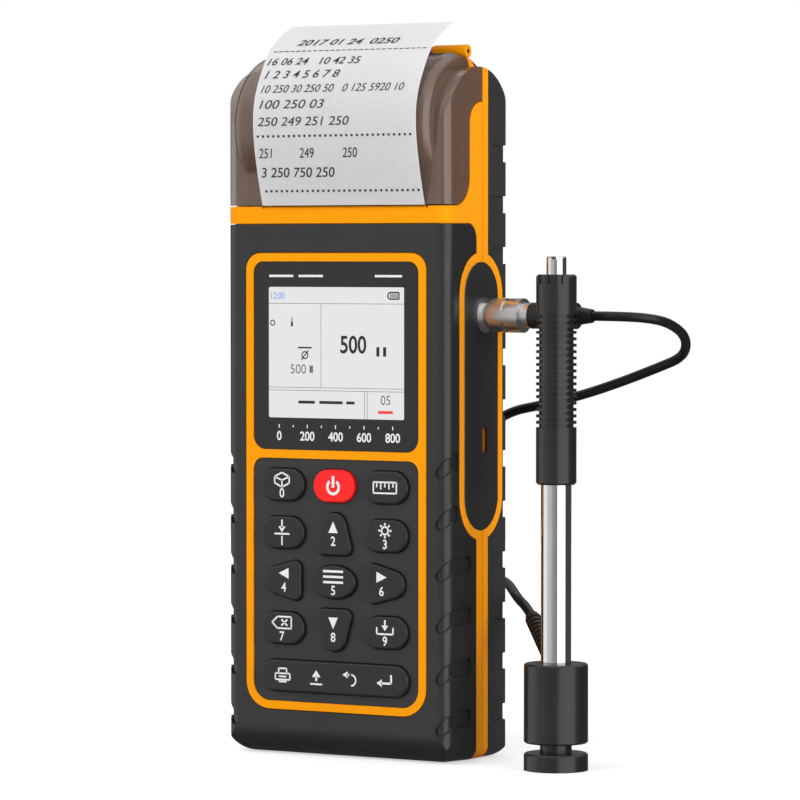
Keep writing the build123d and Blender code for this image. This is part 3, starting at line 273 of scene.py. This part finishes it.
# Soft boxes: name, place, size, watts
soft_boxes = [
    ("key_light", (-0.40, -0.85, 1.30), 0.9, 7.6),
    ("front_light", (0.35, -1.5, 0.45), 0.8, 2.8),
    ("side_light", (1.25, -0.35, 0.3), 0.6, 8.6),
    ("back_light", (-0.4, 1.2, 0.8), 0.9, 4.0),
    ("left_light", (-1.3, 0.1, 0.5), 0.6, 2.5),
]
lamp_target = Vector((0.02, 0, 0.11))


def light_path(tree):
    """What kind of ray looks at the surface."""
    return tree.nodes.new("ShaderNodeLightPath").outputs


def seen_directly(tree):
    """1 for what the camera sees, also through clear plastic, and 0 for bounced light."""
    path = light_path(tree)
    return math_node(tree, "MAXIMUM", path["Is Camera Ray"], path["Is Transmission Ray"])


def light_world():
    """White background, even light, and a studio of bright and dark bands for metal to reflect."""
    world = bpy.data.worlds.new("studio")
    bpy.context.scene.world = world
    world.use_nodes = True
    tree = world.node_tree
    direction = axes(tree, tree.nodes.new("ShaderNodeTexCoord").outputs["Generated"])
    azimuth = math_node(tree, "ARCTAN2", direction["Y"], direction["X"])
    turn = math_node(tree, "SUBTRACT", azimuth, camera_azimuth)
    turn = math_node(tree, "DIVIDE", turn, 2 * math.pi)
    # The ramp's middle is the camera's direction; one whole turn more keeps the value above 0
    turn = math_node(tree, "FRACT", math_node(tree, "ADD", turn, 0.5 + 1))
    bands = tree.nodes.new("ShaderNodeValToRGB")
    tree.links.new(turn, bands.inputs[0])
    stops = bands.color_ramp.elements
    stops[0].color = grey(studio_bands[0][1])
    stops[1].color = grey(studio_bands[-1][1])
    for angle, level in studio_bands[1:-1]:
        stops.new((angle + 180) / 360).color = grey(level)
    studio = bands.outputs["Color"]
    for level, start, end in ((overhead_level, overhead_from, overhead_to),
                              (underfoot_level, underfoot_from, underfoot_to)):
        studio = blend_colours(tree, ramp(tree, direction["Z"], start, end), studio, grey(level))
    seen = blend_colours(tree, light_path(tree)["Is Glossy Ray"], grey(world_level), studio)
    seen = blend_colours(tree, seen_directly(tree), seen, white)
    tree.links.new(seen, tree.nodes["Background"].inputs["Color"])


def lay_floor():
    """Plain white floor that keeps the shadow; metal sees the studio round it, not the floor."""
    bpy.ops.mesh.primitive_plane_add(size=floor_size)
    floor = bpy.context.object
    floor.name = "floor"
    material, tree, shader = new_material(
        "floor", Base_Color=grey(floor_level), Roughness=0.9, Specular_IOR_Level=0.1, Emission_Color=white)
    lift = math_node(tree, "MULTIPLY", seen_directly(tree), floor_lift)
    tree.links.new(lift, shader.inputs["Emission Strength"])
    clear = tree.nodes.new("ShaderNodeBsdfTransparent")
    choice = tree.nodes.new("ShaderNodeMixShader")
    tree.links.new(light_path(tree)["Is Glossy Ray"], choice.inputs[0])
    tree.links.new(shader.outputs[0], choice.inputs[1])
    tree.links.new(clear.outputs[0], choice.inputs[2])
    tree.links.new(choice.outputs[0], tree.nodes["Material Output"].inputs["Surface"])
    floor.data.materials.append(material)


def hang_soft_boxes():
    """Large soft lamps, all turned to the middle of the object."""
    for name, place, size, watts in soft_boxes:
        data = bpy.data.lights.new(name, "AREA")
        data.size = size
        data.energy = watts
        lamp = show(name, data)
        lamp.location = place
        lamp.visible_glossy = False
        lamp.rotation_euler = (lamp_target - lamp.location).to_track_quat("-Z", "Y").to_euler()


# Materials: how far colour and gloss change over a surface, as shares of their own value
moulded_gloss = (1.15, 0.85)
metal_gloss = (0.8, 1.3)
metal_shade = 0.93
ink_shade = 0.9
# Grains in a metre of the noise behind these changes
mottle_scale = 45.0
smear_scale = 120.0
flow_scale = (60.0, 60.0, 18.0)
fibre_scale = (900.0, 2600.0, 2600.0)
cell_scale = 4000.0
ink_scale = 1500.0
track_scale = 160.0
board_scale = 300.0


def moulded(name, colour, roughness, grain, depth, shade=0.12, **values):
    """Moulded plastic or rubber: fine grain in the skin, faint mottling and uneven gloss.

    grain is the width and depth the height of the texture, both in millimetres."""
    material, tree, shader = new_material(name, **values)
    place = object_space(tree)
    fine = noise(tree, place, 1 / (grain * MM))
    broad = noise(tree, place, mottle_scale, 4.0)
    tone = blend_colours(tree, spread(tree, broad), tinted(colour, 1 - shade), tinted(colour, 1 + shade))
    tree.links.new(tone, shader.inputs["Base Color"])
    uneven = spread(tree, broad, *[roughness * share for share in moulded_gloss])
    tree.links.new(uneven, shader.inputs["Roughness"])
    tree.links.new(bump(tree, fine, depth), shader.inputs["Normal"])
    return material


def metal(name, colour, roughness, along, depth):
    """Bright metal with fine drawn or turned lines; along is their number in a metre on each axis."""
    material, tree, shader = new_material(name, Metallic=1.0)
    place = object_space(tree)
    lines = stretched_noise(tree, place, along, 3.0)
    smears = noise(tree, place, smear_scale, 3.0)
    tone = blend_colours(tree, spread(tree, smears), tinted(colour, metal_shade), tinted(colour))
    tree.links.new(tone, shader.inputs["Base Color"])
    uneven = spread(tree, smears, *[roughness * share for share in metal_gloss])
    tree.links.new(uneven, shader.inputs["Roughness"])
    tree.links.new(bump(tree, lines, depth), shader.inputs["Normal"])
    return material


def colour_inside(material, colour, skin_x):
    """Second colour below the outer skin of a side piece, nearer than skin_x to the middle."""
    tree = material.node_tree
    base = tree.nodes["Principled BSDF"].inputs["Base Color"]
    outer = base.links[0].from_socket
    from_middle = math_node(tree, "ABSOLUTE", axes(tree, object_space(tree))["X"])
    deep = math_node(tree, "LESS_THAN", from_middle, skin_x)
    tree.links.new(blend_colours(tree, deep, outer, tinted(colour)), base)


def smoked(name):
    """Brown see-through plastic, polished, with faint flow marks."""
    material, tree, shader = new_material(
        name, Roughness=0.09, Alpha=0.70, Specular_IOR_Level=0.9, Coat_Weight=1.0, Coat_Roughness=0.05)
    flow = stretched_noise(tree, object_space(tree), flow_scale, 3.0)
    tone = blend_colours(tree, spread(tree, flow), (0.150, 0.088, 0.060, 1), (0.186, 0.106, 0.070, 1))
    tree.links.new(tone, shader.inputs["Base Color"])
    tree.links.new(bump(tree, flow, 0.04), shader.inputs["Normal"])
    return material


def thermal_paper(name):
    """Smooth white paper with faint fibres, thin enough for light to come through."""
    material, tree, shader = new_material(
        name, Roughness=0.6, Subsurface_Weight=0.6, Subsurface_Scale=1.5 * MM,
        Subsurface_Radius=(1.0, 1.0, 1.0))
    fibres = stretched_noise(tree, object_space(tree), fibre_scale, 4.0)
    tone = blend_colours(tree, spread(tree, fibres), (0.83, 0.835, 0.85, 1), (0.885, 0.89, 0.905, 1))
    tree.links.new(tone, shader.inputs["Base Color"])
    tree.links.new(bump(tree, fibres, 0.004), shader.inputs["Normal"])
    return material


def lit_screen(name, face_y):
    """Pale lit screen in front of face_y, plain dark carrier behind it."""
    material, tree, shader = new_material(
        name, Base_Color=grey(0.012), Roughness=0.35, Specular_IOR_Level=0.15)
    place = object_space(tree)
    lit = math_node(tree, "LESS_THAN", axes(tree, place)["Y"], face_y)
    cells = noise(tree, place, cell_scale, 1.0)
    glow = blend_colours(tree, cells, (0.76, 0.76, 0.77, 1), (0.80, 0.80, 0.81, 1))
    tree.links.new(glow, shader.inputs["Emission Color"])
    tree.links.new(lit, shader.inputs["Emission Strength"])
    return material


def flat_ink(name, colour, roughness=0.5, glow=0.0):
    """Print, with slightly uneven cover, and light of its own on the screen."""
    material, tree, shader = new_material(name, Roughness=roughness)
    cover = noise(tree, object_space(tree), ink_scale)
    tone = blend_colours(tree, cover, tinted(colour, ink_shade), tinted(colour))
    tree.links.new(tone, shader.inputs["Base Color"])
    if glow:
        tree.links.new(tone, shader.inputs["Emission Color"])
        fill(shader, Emission_Strength=glow)
    return material


def laminate(name):
    """Green circuit board with pale tracks."""
    material, tree, shader = new_material(name)
    place = object_space(tree)
    tracks = tree.nodes.new("ShaderNodeTexBrick")
    fill(tracks, Scale=track_scale, Color1=(0.010, 0.11, 0.035, 1), Color2=(0.012, 0.13, 0.045, 1),
         Mortar=(0.03, 0.24, 0.09, 1))
    tree.links.new(place, tracks.inputs["Vector"])
    tree.links.new(tracks.outputs["Color"], shader.inputs["Base Color"])
    tree.links.new(spread(tree, noise(tree, place, board_scale), 0.3, 0.5), shader.inputs["Roughness"])
    return material


# What each CAD node is made of. Colours are linear red, green and blue
orange = (1.0, 0.345, 0.0)
# In millimetres: where the side inserts' dark skin ends, from the middle, and how far behind the
# window's face the screen's lit layer reaches
insert_skin_x = 39.2
screen_recess = 0.5
key_caps = [f"key_{key}" for key in ("0", "1", "2_up", "3_light", "4_left", "5_menu", "6_right", "7",
                                     "8_down", "9", "unit", "bar")]
# Material, nodes, colour, roughness, grain and depth of the skin in millimetres, shade, other inputs
moulded_pieces = [
    ("case_orange", ["front_shell", "rear_shell"], orange, 0.42, 0.35, 0.004, 0.02,
     {"Specular_IOR_Level": 0.12}),
    ("soft_skin", ["front_overmould"], (0.019, 0.019, 0.0195), 0.33, 0.30, 0.006, 0.10,
     {"Specular_IOR_Level": 0.62}),
    ("rear_skin", ["rear_overmould"], (0.033, 0.033, 0.0335), 0.38, 0.30, 0.006, 0.10,
     {"Specular_IOR_Level": 0.62}),
    ("insert", ["right_side_insert", "left_side_insert"], (0.025, 0.025, 0.025), 0.45, 0.30, 0.006, 0.12, {}),
    ("window_panel", ["display_window"], (0.017, 0.017, 0.018), 0.30, 0.5, 0.001, 0.05, {}),
    ("key_panel", ["keypad_panel"], (0.029, 0.029, 0.029), 0.45, 0.25, 0.006, 0.05, {}),
    ("key_rubber", key_caps, (0.018, 0.018, 0.018), 0.30, 0.22, 0.003, 0.06, {}),
    ("power_red", ["key_power"], (1.0, 0.019, 0.019), 0.4, 0.25, 0.003, 0.02, {"Specular_IOR_Level": 0.25}),
    ("inner_black", ["printer_works", "print_head"], (0.02, 0.02, 0.02), 0.5, 0.4, 0.006, 0.12, {}),
    ("white_nylon", ["roll_spindle", "platen_gear", "idler_gear", "motor_pinion"], (0.72, 0.72, 0.69),
     0.45, 0.6, 0.003, 0.03, {"Subsurface_Weight": 0.1}),
    ("roller_rubber", ["platen_roller"], (0.03, 0.03, 0.03), 0.75, 0.15, 0.01, 0.12, {}),
    ("contact_mat", ["keypad_mat"], (0.4, 0.4, 0.4), 0.6, 0.3, 0.005, 0.12, {}),
    ("battery_wrap", ["battery_pack"], (0.03, 0.1, 0.35), 0.35, 3.0, 0.03, 0.12, {}),
    ("black_anodised", ["loading_sleeve", "coil_housing", "support_ring"], (0.014, 0.014, 0.015),
     0.3, 0.12, 0.0015, 0.15, {"Coat_Weight": 0.2}),
    ("boot_rubber", ["plug_boot", "lead_boot"], (0.012, 0.012, 0.012), 0.42, 0.25, 0.004, 0.12, {}),
]
# Material, nodes, colour, roughness, lines in a metre on each axis, depth in millimetres
metal_pieces = [
    ("chrome", ["guide_tube", "release_button"], (0.86, 0.86, 0.87), 0.045, (900.0, 900.0, 25.0), 0.0002),
    ("nickel", ["plug_body", "plug_latch", "probe_socket"], (0.84, 0.83, 0.82), 0.30, (2500.0, 40.0, 40.0),
     0.00005),
    ("steel", ["service_port", "stepper_motor", "socket_nut", "platen_shaft", "door_hinge_pin", "case_screws",
               "catch_chuck", "impact_spring", "impact_body"], (0.55, 0.55, 0.56), 0.25,
     (300.0, 300.0, 300.0), 0.002),
    ("winding", ["sensing_coil"], (0.7, 0.33, 0.12), 0.3, (50.0, 50.0, 4000.0), 0.05),
]


def dress(nodes, material):
    """Give CAD nodes their material."""
    for name in nodes:
        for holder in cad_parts[name].material_slots:
            holder.material = material


def dress_nodes():
    """Material of every CAD node, and the spring that takes a node's place."""
    made = {}
    for name, nodes, colour, roughness, grain, depth, shade, values in moulded_pieces:
        made[name] = moulded(name, colour, roughness, grain, depth, shade, **values)
        dress(nodes, made[name])
    for name, nodes, colour, roughness, along, depth in metal_pieces:
        made[name] = metal(name, colour, roughness, along, depth)
        dress(nodes, made[name])
    colour_inside(made["insert"], orange, insert_skin_x * MM)
    dress(["lcd_module"], lit_screen("lcd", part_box("display_window")[0][1] + screen_recess * MM))
    dress(["printer_door"], smoked("smoked_cover"))
    dress(["paper_strip", "paper_roll"], thermal_paper("thermal_paper"))
    dress(["main_board", "power_board"], laminate("circuit_board"))
    wind_spring(made["steel"])


# Loading spring, in millimetres
spring_wire = 0.7
spring_turns = 6
spring_facets = 3
spring_steps = 3


def wind_spring(steel):
    """Coil spring in place of the solid one."""
    low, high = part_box("loading_spring")
    cx, cy = (low[0] + high[0]) / 2, (low[1] + high[1]) / 2
    height = high[2] - low[2]
    half_wire = spring_wire / 2 * MM
    radius = (high[0] - low[0]) / 2 - half_wire
    count = spring_turns * points_per_turn
    points = []
    for i in range(count + 1):
        angle = 2 * math.pi * i / points_per_turn
        z = low[2] + half_wire + (height - 2 * half_wire) * i / count
        points.append((cx + radius * math.cos(angle), cy + radius * math.sin(angle), z))
    spring = show("loading_spring_coil",
                  baked(round_wire("spring_line", points, half_wire, spring_facets, spring_steps)))
    spring.data.materials.append(steel)
    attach(spring, "tester")
    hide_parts("loading_spring")
    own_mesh(spring)


# Flat shapes for marks: each is (points in millimetres, faces)
def polygon(*points):
    """Filled outline."""
    return list(points), [tuple(range(len(points)))]


def bar(x, z, width, height):
    """Filled rectangle round a middle point."""
    w, h = width / 2, height / 2
    return polygon((x - w, z - h), (x + w, z - h), (x + w, z + h), (x - w, z + h))


def triangle(x, z, width, height, turn=0):
    """Arrow head that points up, turned anticlockwise by degrees."""
    c, s = math.cos(math.radians(turn)), math.sin(math.radians(turn))
    corners = [(-width / 2, -height / 2), (width / 2, -height / 2), (0, height / 2)]
    return polygon(*[(x + a * c - b * s, z + a * s + b * c) for a, b in corners])


def stroke(width, *points):
    """Line of this width through the points."""
    shapes = []
    for (x0, z0), (x1, z1) in zip(points, points[1:]):
        length = math.hypot(x1 - x0, z1 - z0)
        nx, nz = (z0 - z1) / length * width / 2, (x1 - x0) / length * width / 2
        shapes.append(polygon((x0 - nx, z0 - nz), (x1 - nx, z1 - nz), (x1 + nx, z1 + nz), (x0 + nx, z0 + nz)))
    return join(shapes)


def closed(width, *points):
    """Line of this width round the points and back to the first."""
    return stroke(width, *points, points[0])


def ring(x, z, outer, inner, start=0, span=360, steps=40):
    """Ring or part of one, in degrees."""
    points, faces = [], []
    for i in range(steps + 1):
        angle = math.radians(start + span * i / steps)
        for radius in (inner, outer):
            points.append((x + radius * math.cos(angle), z + radius * math.sin(angle)))
        if i:
            faces.append((2 * i - 2, 2 * i - 1, 2 * i + 1, 2 * i))
    return points, faces


def disc(x, z, radius, steps):
    """Filled circle."""
    turns = [2 * math.pi * i / steps for i in range(steps)]
    return polygon(*[(x + radius * math.cos(a), z + radius * math.sin(a)) for a in turns])


def join(shapes):
    """Several flat shapes as one."""
    points, faces = [], []
    for more_points, more_faces in shapes:
        first = len(points)
        points += more_points
        faces += [tuple(first + i for i in face) for face in more_faces]
    return points, faces


def placed(shape, x, z, times=1.0):
    """Shape drawn round (0, 0), scaled and moved to this place."""
    points, faces = shape
    return [(x + a * times, z + b * times) for a, b in points], faces


def figures(text, x, z, height, weight=0.0, narrow=0.9, lean=0.0, width=None):
    """Plain figures of this height round a middle point, made as wide as asked."""
    data = bpy.data.curves.new("figures", "FONT")
    data.body = text
    data.offset = weight
    data.shear = lean
    mesh = baked(data)
    xs = [v.co.x for v in mesh.vertices]
    zs = [v.co.y for v in mesh.vertices]
    scale = height / (max(zs) - min(zs))
    across = width / (max(xs) - min(xs)) if width else scale * narrow
    middle = ((max(xs) + min(xs)) / 2, (max(zs) + min(zs)) / 2)
    points = [(x + (v.co.x - middle[0]) * across, z + (v.co.y - middle[1]) * scale) for v in mesh.vertices]
    faces = [tuple(face.vertices) for face in mesh.polygons]
    bpy.data.meshes.remove(mesh)
    return points, faces


# How far print stands proud of its surface, and how finely print on the paper is cut, in millimetres
print_lift = 0.03
paper_print_lift = 0.07
paper_slice = 0.4


def slice_across(mesh, pitch):
    """Cut a flat mesh into level slices, so that it can follow a curved surface."""
    shape = bmesh.new()
    shape.from_mesh(mesh)
    heights = [v.co.z for v in shape.verts]
    for i in range(int(min(heights) / pitch) + 1, int(max(heights) / pitch) + 1):
        everything = shape.verts[:] + shape.edges[:] + shape.faces[:]
        bmesh.ops.bisect_plane(shape, geom=everything, plane_co=(0, 0, i * pitch), plane_no=(0, 0, 1))
    shape.to_mesh(mesh)
    shape.free()


def mark(name, shapes, depth_at, material, body, slices=None):
    """Thin print that lies on a surface; depth_at gives the surface's Y at a point."""
    points, faces = join(shapes)
    mesh = bpy.data.meshes.new(name)
    mesh.from_pydata([(x * MM, 0, z * MM) for x, z in points], [], faces)
    if slices:
        slice_across(mesh, slices * MM)
    for vertex in mesh.vertices:
        vertex.co.y = depth_at(vertex.co.x, vertex.co.z)
    mesh.materials.append(material)
    piece = show(name, mesh)
    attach(piece, body)


def on_plane(node):
    """Depth just in front of a node's foremost face."""
    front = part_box(node)[0][1] - print_lift * MM
    return lambda x, z: front


def on_paper(x, z):
    """Depth just in front of the hanging paper, found from a metre in front of it."""
    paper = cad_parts["paper_strip"]
    place = paper.ray_cast(Vector((x, -1.0, z)), Vector((0, 1, 0)))[1]
    return place.y - paper_print_lift * MM


# Generic signs on the keys, drawn round (0, 0), and the widths of their lines
thin, medium, thick = 0.42, 0.45, 0.5
rays = [(math.cos(math.pi * i / 4), math.sin(math.pi * i / 4)) for i in range(8)]
sun_sign = join([ring(0, 0, 1.2, 0.75)] + [
    stroke(thick, (1.35 * c, 1.35 * s), (1.95 * c, 1.95 * s)) for c, s in rays])
block_sign = join([
    closed(thin, (-2.2, 0.7), (0, 1.7), (2.2, 0.7), (0, -0.3)),
    stroke(thin, (-2.2, 0.7), (-2.2, -1.0), (0, -2.0), (2.2, -1.0), (2.2, 0.7)),
    stroke(thin, (0, -0.3), (0, -2.0)),
])
ruler_sign = join([closed(thin, (-3.4, 1.4), (3.4, 1.4), (3.4, -1.4), (-3.4, -1.4))] + [
    stroke(0.4, (-2.4 + 1.2 * i, 1.3), (-2.4 + 1.2 * i, 0.1 - 0.5 * (i % 2))) for i in range(5)])
direction_sign = join([
    stroke(thick, (0, 1.9), (0, -0.3)), triangle(0, -0.6, 2.2, 1.5, 180), bar(0, -1.75, 4.6, medium),
])
menu_sign = join([bar(0, z, 6.0, 0.6) for z in (1.4, 0, -1.4)])
delete_sign = join([closed(thin, (-3.0, 0), (-1.4, 1.5), (2.8, 1.5), (2.8, -1.5), (-1.4, -1.5))] + [
    stroke(medium, (-0.2, z), (1.6, -z)) for z in (0.8, -0.8)])
store_sign = join([
    stroke(medium, (-2.4, 0), (-2.4, -1.7), (2.4, -1.7), (2.4, 0)),
    stroke(thick, (0, 1.9), (0, 0.4)), triangle(0, -0.2, 2.0, 1.4, 180),
])
power_sign = join([ring(0, -0.3, 2.5, 1.6, 125, 290), bar(0, 1.35, 0.95, 3.5)])
printer_sign = join([
    closed(thin, (-2.2, 0.6), (2.2, 0.6), (2.2, -1.0), (-2.2, -1.0)),
    stroke(thin, (-1.2, 0.6), (-1.2, 1.9), (1.2, 1.9), (1.2, 0.6)),
    bar(0, -1.5, 2.4, medium), bar(0, -0.2, 2.2, 0.4),
])
feed_sign = join([triangle(0, 1.0, 2.6, 1.8), stroke(0.6, (0, 0.3), (0, -0.9)), bar(0, -1.7, 3.6, medium)])
back_sign = join([
    ring(0.3, -0.2, 1.6, 1.15, -90, 200), triangle(-1.5, 1.15, 1.8, 1.6, 90), bar(-0.3, 1.15, 1.4, medium),
])
enter_sign = join([stroke(0.55, (2.0, 1.7), (2.0, -0.5), (-1.0, -0.5)), triangle(-1.5, -0.5, 2.0, 1.6, 90)])

# Keys with a sign over their figure, and keys with an arrow over it: its turn and its shift to the side
sign_keys = {"key_0": block_sign, "key_1": direction_sign, "key_3_light": sun_sign, "key_5_menu": menu_sign,
             "key_7": delete_sign, "key_9": store_sign}
arrow_keys = {"key_2_up": (0, 0.0), "key_4_left": (90, 0.6), "key_6_right": (-90, -1.2),
              "key_8_down": (180, 0.0)}
bar_key_signs = [printer_sign, feed_sign, back_sign, enter_sign]
bar_key_pitch = 12.2
sign_scale = 1.2
sign_rise = 1.7
figure_drop = 2.5
figure_height = 2.9
figure_weight = 0.015
arrow_rise = 2.2
arrow_figure_drop = 2.1
arrow_width = 3.4
arrow_height = 3.6


def middle_of(node):
    """Middle of a node's front view, in millimetres."""
    low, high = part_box(node)
    return (low[0] + high[0]) / 2 / MM, (low[2] + high[2]) / 2 / MM


def key_figure(key, x, z):
    """The figure in a key's name."""
    return figures(key.split("_")[1], x, z, figure_height, figure_weight)


def mark_keys(ink):
    """White signs and figures on the thirteen keys."""
    prints = {}
    for key, sign in sign_keys.items():
        x, z = middle_of(key)
        prints[key] = [placed(sign, x, z + sign_rise, sign_scale), key_figure(key, x, z - figure_drop)]
    for key, (turn, shift) in arrow_keys.items():
        x, z = middle_of(key)
        head = triangle(x + shift, z + arrow_rise, arrow_width, arrow_height, turn)
        prints[key] = [head, key_figure(key, x + shift, z - arrow_figure_drop)]
    prints["key_power"] = [placed(power_sign, *middle_of("key_power"))]
    prints["key_unit"] = [placed(ruler_sign, *middle_of("key_unit"), sign_scale)]
    x, z = middle_of("key_bar")
    first = x - bar_key_pitch * (len(bar_key_signs) - 1) / 2
    prints["key_bar"] = [placed(sign, first + bar_key_pitch * i, z, sign_scale)
                         for i, sign in enumerate(bar_key_signs)]
    for key, shapes in prints.items():
        mark(f"{key}_mark", shapes, on_plane(key), ink, f"{key}_cap")


# Screen: places and sizes in millimetres, and the light of the coloured print
screen_width = 48.6
screen_low = 104.7
status_line_z = 140.0
split_line_z = 114.1
foot_line_z = 113.2
middle_line_x = -5.4
count_lines_x = (10.2, 11.2)
line_width = 0.16
screen_glow = 0.6
unit_bars_x = (15.0, 17.4)
word_bars = [(-10.6, 6.0), (-1.8, 8.4), (5.2, 3.0)]
word_bars_z = 109.6
battery_sign = join([closed(0.45, (-1.7, 1.0), (1.8, 1.0), (1.8, -1.0), (-1.7, -1.0), (-2.3, 0))] + [
    bar(-1.1 + 0.75 * i, 0, 0.42, 1.3) for i in range(4)])
mean_sign = join([bar(0, 2.3, 5.0, 0.5), ring(0, 0, 1.25, 0.85), stroke(0.35, (-1.3, -1.5), (1.3, 1.5))])
probe_sign = join([bar(0, -0.4, 0.75, 1.4), bar(0, 1.0, 0.35, 1.4)])


def upright(x, low, high):
    """Thin upright line."""
    return bar(x, (low + high) / 2, line_width, high - low)


def mark_screen():
    """What the screen shows: thin lines, figures, plain signs, and bars for words."""
    lines = [bar(0, z, screen_width, line_width) for z in (status_line_z, split_line_z, foot_line_z)]
    lines += [upright(middle_line_x, split_line_z, status_line_z)]
    lines += [upright(x, screen_low, foot_line_z) for x in count_lines_x]
    reading = [figures("500", 6.2, 127.5, 5.5, weight=0.02, narrow=0.86)]
    units = [bar(x, 125.4, 1.1, 2.9) for x in unit_bars_x]
    signs = [placed(battery_sign, 20.7, 142.5), ring(-22.9, 134.0, 0.95, 0.6),
             placed(probe_sign, -15.9, 134.0), placed(mean_sign, -11.2, 124.1)]
    words = [bar(x, word_bars_z, width, 0.9) for x, width in word_bars]
    small = [figures("500", -13.6, 119.8, 2.9, narrow=0.95), bar(-8.9, 119.8, 1.3, 2.2),
             figures("05", 17.7, 110.6, 2.9)]
    clock = [figures("12:00", -21.0, 142.4, 2.0, narrow=0.85)]
    black = flat_ink("screen_black", (0.02, 0.02, 0.02))
    grey_ink = flat_ink("screen_grey", (0.16, 0.15, 0.15))
    blue = flat_ink("screen_blue", (0.02, 0.22, 0.6), glow=screen_glow)
    red = flat_ink("screen_red", (0.6, 0.03, 0.03), glow=screen_glow)
    for name, shapes, ink in (("screen_lines", lines, grey_ink),
                              ("screen_figures", reading + signs + units + words, black),
                              ("screen_small_figures", small, grey_ink),
                              ("screen_clock", clock, blue),
                              ("screen_count_mark", [bar(17.7, 106.9, 5.2, 0.9)], red)):
        mark(name, shapes, on_plane("lcd_module"), ink, "tester")


# Panel round the screen: a plain scale below it and plain bars above it, in millimetres
scale_left = -20.4
scale_step = 5.1
scale_figures_z = 99.1
scale_figures_height = 2.9
scale_ticks_z = 102.1
tick_width = 0.35
tick_lengths = (1.1, 0.7)
panel_bars = [(-19.6, 8.8), (-8.9, 8.8), (18.9, 9.6)]
panel_bars_z = 148.5
panel_bars_height = 0.7


def mark_panel(ink):
    """Scale from 0 to 800 with long and short ticks, and bars."""
    steps = [figures(str(200 * i), scale_left + 2 * scale_step * i, scale_figures_z, scale_figures_height, 0.02)
             for i in range(5)]
    ticks = [bar(scale_left + scale_step * i, scale_ticks_z, tick_width, tick_lengths[i % 2]) for i in range(9)]
    bars = [bar(x, panel_bars_z, width, panel_bars_height) for x, width in panel_bars]
    mark("panel_marks", steps + ticks + bars, on_plane("display_window"), ink, "tester")


# Print on the paper: plain figures, one row each: height above the floor, from, to, text, size, weight
ticket_rows = [
    (220.5, -17.0, 19.2, "2017 01 24  0250", 1.9, 0.02),
    (214.6, -24.6, 8.8, "16 06 24   10 42 35", 2.2, 0.008),
    (210.5, -24.0, 2.8, "1 2 3 4 5 6 7 8", 2.4, 0.008),
    (206.0, -24.0, 27.0, "10 250 30 250 50   0 125 5920 10", 2.4, 0.0),
    (201.2, -23.7, -0.5, "100 250 03", 2.7, 0.0),
    (195.9, -24.2, 8.7, "250 249 251 250", 2.7, 0.0),
    (186.2, -24.5, -19.4, "251", 3.0, 0.0),
    (186.2, -9.8, -4.4, "249", 3.0, 0.0),
    (186.2, 5.6, 11.0, "250", 3.0, 0.0),
    (180.3, -24.4, 2.2, "3 250 750 250", 3.0, 0.004),
]
# Rows of dashes and dots: height above the floor, from, to, how many
dash_row = (217.8, -23.4, 30.0, 27)
dot_rows = [(191.4, -24.2, 30.2, 30), (174.6, -23.5, 30.9, 30)]
dash_length, dash_width = 1.45, 0.26
dot_radius = 0.42
dot_sides = 12
print_lean = 0.22


def in_row(row):
    """Evenly spaced places, from the first to the last of a row."""
    z, first, last, count = row
    return [(first + (last - first) * i / (count - 1), z) for i in range(count)]


def print_ticket(ink):
    """Rows of plain figures, dashes and dots on the paper strip."""
    shapes = [figures(text, (first + last) / 2, z, size, weight, lean=print_lean, width=last - first)
              for z, first, last, text, size, weight in ticket_rows]
    shapes += [bar(x, z, dash_length, dash_width) for x, z in in_row(dash_row)]
    shapes += [disc(x, z, dot_radius, dot_sides) for row in dot_rows for x, z in in_row(row)]
    mark("ticket_print", shapes, on_paper, ink, "door", slices=paper_slice)


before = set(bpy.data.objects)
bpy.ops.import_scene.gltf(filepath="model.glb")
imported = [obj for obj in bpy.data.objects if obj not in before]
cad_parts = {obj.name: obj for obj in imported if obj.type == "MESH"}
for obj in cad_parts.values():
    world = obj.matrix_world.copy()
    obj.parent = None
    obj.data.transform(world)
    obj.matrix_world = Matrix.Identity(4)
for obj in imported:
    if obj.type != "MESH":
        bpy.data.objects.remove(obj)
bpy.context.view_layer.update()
bpy.context.scene.view_settings.view_transform = "Standard"
aim_camera()
light_world()
lay_floor()
hang_soft_boxes()
dress_nodes()
lay_lead()
mark_keys(flat_ink("white_ink", (0.9, 0.9, 0.9)))
mark_screen()
mark_panel(flat_ink("panel_white", (0.9, 0.9, 0.9)))
print_ticket(flat_ink("ticket_black", (0.03, 0.03, 0.03), roughness=0.6))
